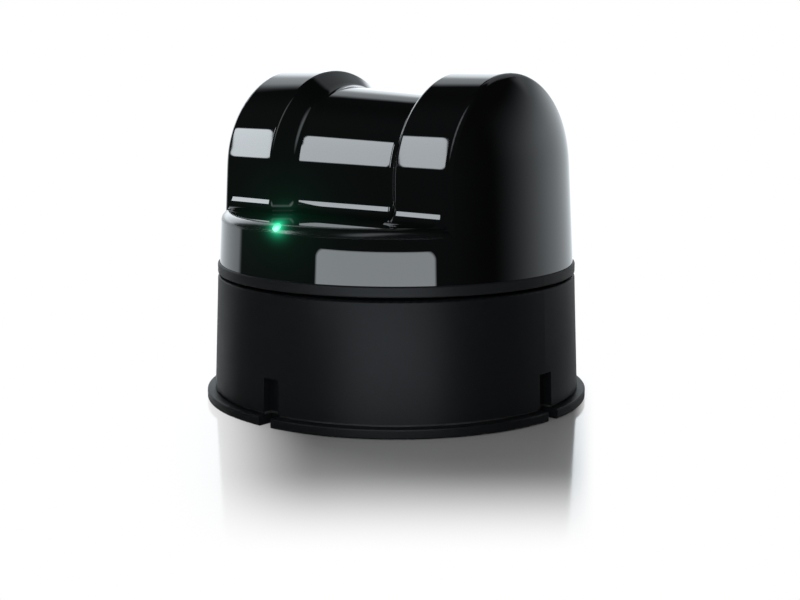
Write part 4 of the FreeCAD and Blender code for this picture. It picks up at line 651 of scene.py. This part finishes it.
def wound_tooth(wire, pitch, turns, layers, across, tall, corner):
    """Layers of wire one inside the other, as one mesh."""
    made = []
    for depth in range(layers):
        inset = wire / 2 + depth * pitch
        made.append(wound_layer(wire, pitch, turns, across - inset, tall - inset,
                                max(corner - inset, wire * LEAST_CORNER)))
    return joined_piece(made)


def move_mesh(piece, shift, turn=(0.0, 0.0, 0.0)):
    alone(piece)
    piece.rotation_euler = in_radians(turn)
    piece.location = shift
    bpy.ops.object.transform_apply(location=True, rotation=True, scale=True)


def copies_round(first, axis, count):
    """The wound tooth and its copies, evenly round an axis through the origin, as one mesh."""
    parts = [first]
    for place in range(1, count):
        alone(first)
        bpy.ops.object.duplicate(linked=False)
        copy = bpy.context.object
        copy.rotation_euler[axis] = radians(360.0 * place / count)
        bpy.ops.object.transform_apply(location=True, rotation=True, scale=True)
        parts.append(copy)
    return joined_piece(parts)


def power_coil(foot):
    """Flat layers of turns between the ferrites."""
    half = POWER_COIL_PITCH / 2
    coil = wire_section(POWER_COIL_WIRE, (POWER_COIL_INSIDE + half, 0.0, foot + half))
    for count, step in ((POWER_COIL_TURNS, (POWER_COIL_PITCH, 0.0, 0.0)),
                        (POWER_COIL_LAYERS, (0.0, 0.0, POWER_COIL_PITCH))):
        row = coil.modifiers.new("row", "ARRAY")
        row.count = count
        row.use_relative_offset = False
        row.use_constant_offset = True
        row.constant_offset_displace = step
        bpy.ops.object.modifier_apply(modifier=row.name)
    bpy.ops.object.mode_set(mode="EDIT")
    bpy.ops.mesh.select_all(action="SELECT")
    bpy.ops.mesh.spin(steps=STEPS_ROUND_COIL, angle=radians(360.0), center=(0.0, 0.0, 0.0),
                      axis=(0.0, 0.0, 1.0))
    bpy.ops.object.mode_set(mode="OBJECT")
    close_and_face_out()
    return coil


def finish_winding(piece, name, node_name, body):
    alone(piece)
    piece.name = name
    piece.data.materials.clear()
    piece.data.materials.append(FINISHES["winding_copper"])
    bpy.ops.object.shade_smooth_by_angle(angle=radians(WIRE_SMOOTH_ANGLE))
    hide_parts(node_name)
    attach(piece, body)


stator_turns = wound_tooth(**STATOR_COIL)
move_mesh(stator_turns, (STATOR_COIL_START, 0.0, STATOR_MIDDLE))
stator_turns = copies_round(stator_turns, Z_AXIS, STATOR_TEETH)
finish_winding(stator_turns, "stator_turns", "stator_windings", "base")

motor_turns = wound_tooth(**MOTOR_COIL)
move_mesh(motor_turns, (MOTOR_MIDDLE, 0.0, MOTOR_COIL_START), (0.0, -90.0, 0.0))
motor_turns = copies_round(motor_turns, X_AXIS, MOTOR_TEETH)
move_mesh(motor_turns, (0.0, 0.0, MIRROR_AXIS))
finish_winding(motor_turns, "mirror_motor_turns", "mirror_stator_windings", "head")

finish_winding(power_coil(LOWER_COIL_FOOT), "lower_coil_turns", "lower_power_coil", "base")
finish_winding(power_coil(UPPER_COIL_FOOT), "upper_coil_turns", "upper_power_coil", "head")


# Studio: white backdrop behind, dark in front, soft windows where the shell mirrors them.
def towards(azimuth, elevation, distance):
    """A point seen from the head at this azimuth: 0 is the sensor's front and 90 its right side."""
    turn, rise = radians(azimuth), radians(elevation)
    return (
        HEAD_MIDDLE[0] + distance * sin(turn) * cos(rise),
        HEAD_MIDDLE[1] - distance * cos(turn) * cos(rise),
        HEAD_MIDDLE[2] + distance * sin(rise),
    )


def soft_lamp(name, azimuth, elevation, size, power):
    data = bpy.data.lights.new(name, "AREA")
    data.shape = "RECTANGLE"
    data.size = data.size_y = size
    data.energy = power
    lamp = bpy.data.objects.new(name, data)
    lamp.location = towards(azimuth, elevation, LAMP_DISTANCE)
    lamp.rotation_euler = in_radians((90.0 - elevation, 0.0, azimuth))
    lamp.visible_camera = False
    lamp.visible_glossy = False
    scene.collection.objects.link(lamp)


def make_soft_window():
    """A rounded rectangle in two direction coordinates: 1 inside, 0 outside."""
    group, given, out = effect_group(
        "soft_window",
        {"Across": 0.0, "Up": 0.0, "Left": 0.0, "Right": 1.0, "Low": 0.0, "High": 1.0,
         "Corner Across": 0.1, "Corner Up": 0.1, "Softness": 0.05},
        ("Mask",),
    )

    def beyond(value, low, high, corner):
        middle = calc(group, "MULTIPLY", calc(group, "ADD", low, high), 0.5)
        half = calc(group, "MULTIPLY", calc(group, "SUBTRACT", high, low), 0.5)
        away = calc(group, "ABSOLUTE", calc(group, "SUBTRACT", value, middle))
        past = calc(group, "ADD", calc(group, "SUBTRACT", away, half), corner)
        return calc(group, "DIVIDE", calc(group, "MAXIMUM", past, 0.0), corner)

    across = beyond(given["Across"], given["Left"], given["Right"], given["Corner Across"])
    up = beyond(given["Up"], given["Low"], given["High"], given["Corner Up"])
    edge = calc(group, "SUBTRACT", 1.0, hypotenuse(group, across, up))
    mask = calc(group, "ADD", calc(group, "DIVIDE", edge, given["Softness"]), 0.5, clamp=True)
    link(group, mask, out["Mask"])
    return group


soft_window = make_soft_window()


def window(tree, across, up, level, **sides):
    made = place_effect(tree, soft_window, **sides)
    link(tree, across, made.inputs["Across"])
    link(tree, up, made.inputs["Up"])
    return calc(tree, "MULTIPLY", made.outputs["Mask"], level)


def mirrored_windows(tree, along, over):
    low, high = in_radians(WINDOW_HEIGHTS)
    levels = [window(tree, along, over, level, Left=left, Right=right, Low=low, High=high,
                     Corner_Across=WINDOW_CORNER, Corner_Up=radians(WINDOW_CORNER_HEIGHT),
                     Softness=WINDOW_SOFTNESS)
              for left, right, level in WINDOWS]
    left, right = STREAK_SIDES
    low, high = in_radians(STREAK_HEIGHTS)
    levels.append(window(tree, along, over, STREAK_LEVEL, Left=left, Right=right, Low=low, High=high,
                         Corner_Across=(right - left) / 2, Corner_Up=radians(STREAK_CORNER_HEIGHT),
                         Softness=1.0))
    return levels


def mirrored_backdrop(tree, along, ahead, over, elevation):
    azimuth = calc(tree, "ARCTAN2", along, ahead)
    turn = calc(tree, "WRAP", calc(tree, "SUBTRACT", azimuth, radians(BACKDROP_MIDDLE)),
                radians(180.0), radians(-180.0))
    sides = product(tree, ramp(tree, turn, in_radians(BACKDROP_RIGHT_EDGE), RISING),
                    ramp(tree, turn, in_radians(BACKDROP_LEFT_EDGE), FALLING))

    grey = product(tree, ramp(tree, elevation, in_radians(GREY_TOP), FALLING),
                   ramp(tree, along, GREY_SIDE, GREY_LEVELS))
    white = ramp(tree, elevation, in_radians(WHITE_TOP), WHITE_LEVELS)
    middle = ramp(tree, over, in_radians(MIDDLE_EDGE), MIDDLE_LEVELS)
    right = ramp(tree, elevation, in_radians(RIGHT_FADE), RIGHT_LEVELS)
    right_share = calc(tree, "MAXIMUM", ramp(tree, along, RIGHT_PART_EDGE, RISING),
                       ramp(tree, elevation, in_radians(RIGHT_PART_LOW), FALLING))
    upper = blend(tree, ramp(tree, along, LEFT_PART_EDGE, RISING), calc(tree, "ADD", grey, white),
                  blend(tree, right_share, middle, right))

    behind = ramp(tree, ahead, BEHIND_EDGE, FALLING)
    raised = ramp(tree, elevation, in_radians(BACKDROP_FOOT), RISING)
    return product(tree, sides, blend(tree, raised, BACKDROP_LEVEL, product(tree, upper, behind)))


def mirrored_studio(tree):
    """What the polished shell mirrors, by direction."""
    along, depth, height = split(tree, node(tree, "ShaderNodeTexCoord").outputs["Generated"])
    ahead = calc(tree, "MULTIPLY", depth, -1.0)
    elevation = calc(tree, "ARCSINE", height)
    over = calc(tree, "WRAP", calc(tree, "ARCTAN2", height, ahead), radians(270.0), radians(-90.0))
    total = mirrored_backdrop(tree, along, ahead, over, elevation)
    for level in mirrored_windows(tree, along, over):
        total = calc(tree, "ADD", total, level)
    return calc(tree, "ADD", total, ramp(tree, ahead, ROOM_EDGE, ROOM_LEVELS))


def surround():
    """White to the camera, the studio above to gloss and glass, and an even fill to matt surfaces."""
    world = bpy.data.worlds.new("white_studio")
    scene.world = world
    world.use_nodes = True
    tree = world.node_tree
    tree.nodes.clear()
    path = node(tree, "ShaderNodeLightPath").outputs
    gloss = calc(tree, "MAXIMUM", path["Is Glossy Ray"], path["Is Transmission Ray"])
    level = blend(tree, gloss, FILL_LEVEL, mirrored_studio(tree))
    back = node(tree, "ShaderNodeBackground")
    link(tree, blend_colours(tree, gloss, WHITE, COOL_WHITE), back.inputs["Color"])
    link(tree, blend(tree, path["Is Camera Ray"], level, 1.0), back.inputs["Strength"])
    link(tree, back.outputs[0], node(tree, "ShaderNodeOutputWorld").inputs["Surface"])


def glow(tree, colour):
    made = node(tree, "ShaderNodeEmission")
    made.inputs["Color"].default_value = (*colour, 1.0)
    return made


def blend_shaders(tree, mask, first, second):
    made = node(tree, "ShaderNodeMixShader")
    for socket, source in zip(made.inputs, (mask, first, second)):
        link(tree, source, socket)
    return made.outputs[0]


def show_where(tree, mask, shader):
    """Shows the shader where the mask is 1 and nothing where it is 0."""
    nothing = node(tree, "ShaderNodeBsdfTransparent").outputs[0]
    link(tree, blend_shaders(tree, mask, nothing, shader), tree.nodes["Material Output"].inputs["Surface"])


def backfacing(tree):
    return node(tree, "ShaderNodeNewGeometry").outputs["Backfacing"]


def lift(height):
    """Moves the mesh just made up or down, and leaves its object at the origin."""
    bpy.ops.object.mode_set(mode="EDIT")
    bpy.ops.transform.translate(value=(0.0, 0.0, height))
    bpy.ops.object.mode_set(mode="OBJECT")


def card_part(tree, azimuth, height, sides, corner, heights, level):
    left, right = in_radians(sides)
    low, high = heights
    return window(tree, azimuth, height, level, Left=left, Right=right, Low=low, High=high,
                  Corner_Across=radians(corner), Corner_Up=CARD_CORNER_HEIGHT, Softness=CARD_SOFTNESS)


def front_card():
    """A low bowed card before the sensor that only the shell and the coats mirror."""
    bpy.ops.object.select_all(action="DESELECT")
    bpy.ops.mesh.primitive_cylinder_add(vertices=CARD_FACETS, radius=CARD_RADIUS, depth=CARD_TOP,
                                        end_fill_type="NOTHING")
    card = bpy.context.object
    card.name = "front_card"
    lift(CARD_TOP / 2)
    finish, tree, _ = new_finish("front_card")
    x, y, z = split(tree, own_place(tree))
    azimuth = calc(tree, "ARCTAN2", x, calc(tree, "MULTIPLY", y, -1.0))
    level = calc(tree, "MAXIMUM", card_part(tree, azimuth, z, **UPPER_CARD),
                 card_part(tree, azimuth, z, **LOWER_CARD))
    lit = glow(tree, COOL_WHITE)
    link(tree, level, lit.inputs["Strength"])
    show_where(tree, product(tree, calc(tree, "MINIMUM", level, 1.0), backfacing(tree)), lit.outputs[0])
    card.data.materials.append(finish)
    card.visible_camera = False
    card.visible_diffuse = False
    card.visible_shadow = False
    card.visible_transmission = False
    return card


def floor_shade(tree):
    """A mask of the shaded part of the floor."""
    across, back, _ = split(tree, turned_round(tree, own_place(tree), -CAMERA_TURN))
    slope = calc(tree, "DIVIDE", across, calc(tree, "ADD", back, SHADE_LINES_MEET))
    return product(tree, ramp(tree, slope, SHADE_LEFT, RISING), ramp(tree, slope, SHADE_RIGHT, FALLING),
                   ramp(tree, calc(tree, "MULTIPLY", back, -1.0), SHADE_FRONT, FALLING),
                   ramp(tree, back, SHADE_REAR, FALLING))


def pale_floor():
    """A small pale polished table top, plain white but for the sensor's shade and mirror image in front."""
    bpy.ops.object.select_all(action="DESELECT")
    bpy.ops.mesh.primitive_circle_add(vertices=FLOOR_FACETS, radius=FLOOR_RADIUS, fill_type="NGON")
    floor = bpy.context.object
    floor.name = "pale_floor"
    lift(-FLOOR_GAP)
    finish, tree, shader = new_finish("pale_floor_board")
    shader.inputs["Base Color"].default_value = (*FLOOR_GREY, 1.0)
    shader.inputs["Roughness"].default_value = FLOOR_ROUGHNESS
    shader.inputs["IOR"].default_value = FLOOR_IOR
    seen = node(tree, "ShaderNodeLightPath").outputs["Is Camera Ray"]
    plain = product(tree, calc(tree, "SUBTRACT", 1.0, floor_shade(tree)), seen)
    white = glow(tree, WHITE).outputs[0]
    board = blend_shaders(tree, plain, shader.outputs[0], white)
    show_where(tree, calc(tree, "SUBTRACT", 1.0, backfacing(tree)), board)
    floor.data.materials.append(finish)
    floor.visible_diffuse = False
    return floor


def keep_unlit(card, floor):
    """The floor doesn't mirror the card."""
    unlit = bpy.data.collections.new("not_lit_by_card")
    unlit.objects.link(floor)
    unlit.collection_objects[0].light_linking.link_state = "EXCLUDE"
    card.light_linking.receiver_collection = unlit


def photo_camera():
    data = bpy.data.cameras.new("photo_camera")
    data.lens = CAMERA_LENS
    data.sensor_width = CAMERA_SENSOR
    data.shift_x = CAMERA_SHIFT
    data.clip_start = CAMERA_NEAREST
    camera = bpy.data.objects.new("photo_camera", data)
    camera.location = CAMERA_PLACE
    camera.rotation_euler = in_radians((90.0 - CAMERA_TILT, 0.0, CAMERA_TURN))
    scene.collection.objects.link(camera)
    scene.camera = camera


for lamp_name, settings in LAMPS.items():
    soft_lamp(lamp_name, **settings)
surround()
keep_unlit(front_card(), pale_floor())
photo_camera()
scene.view_settings.view_transform = "Standard"
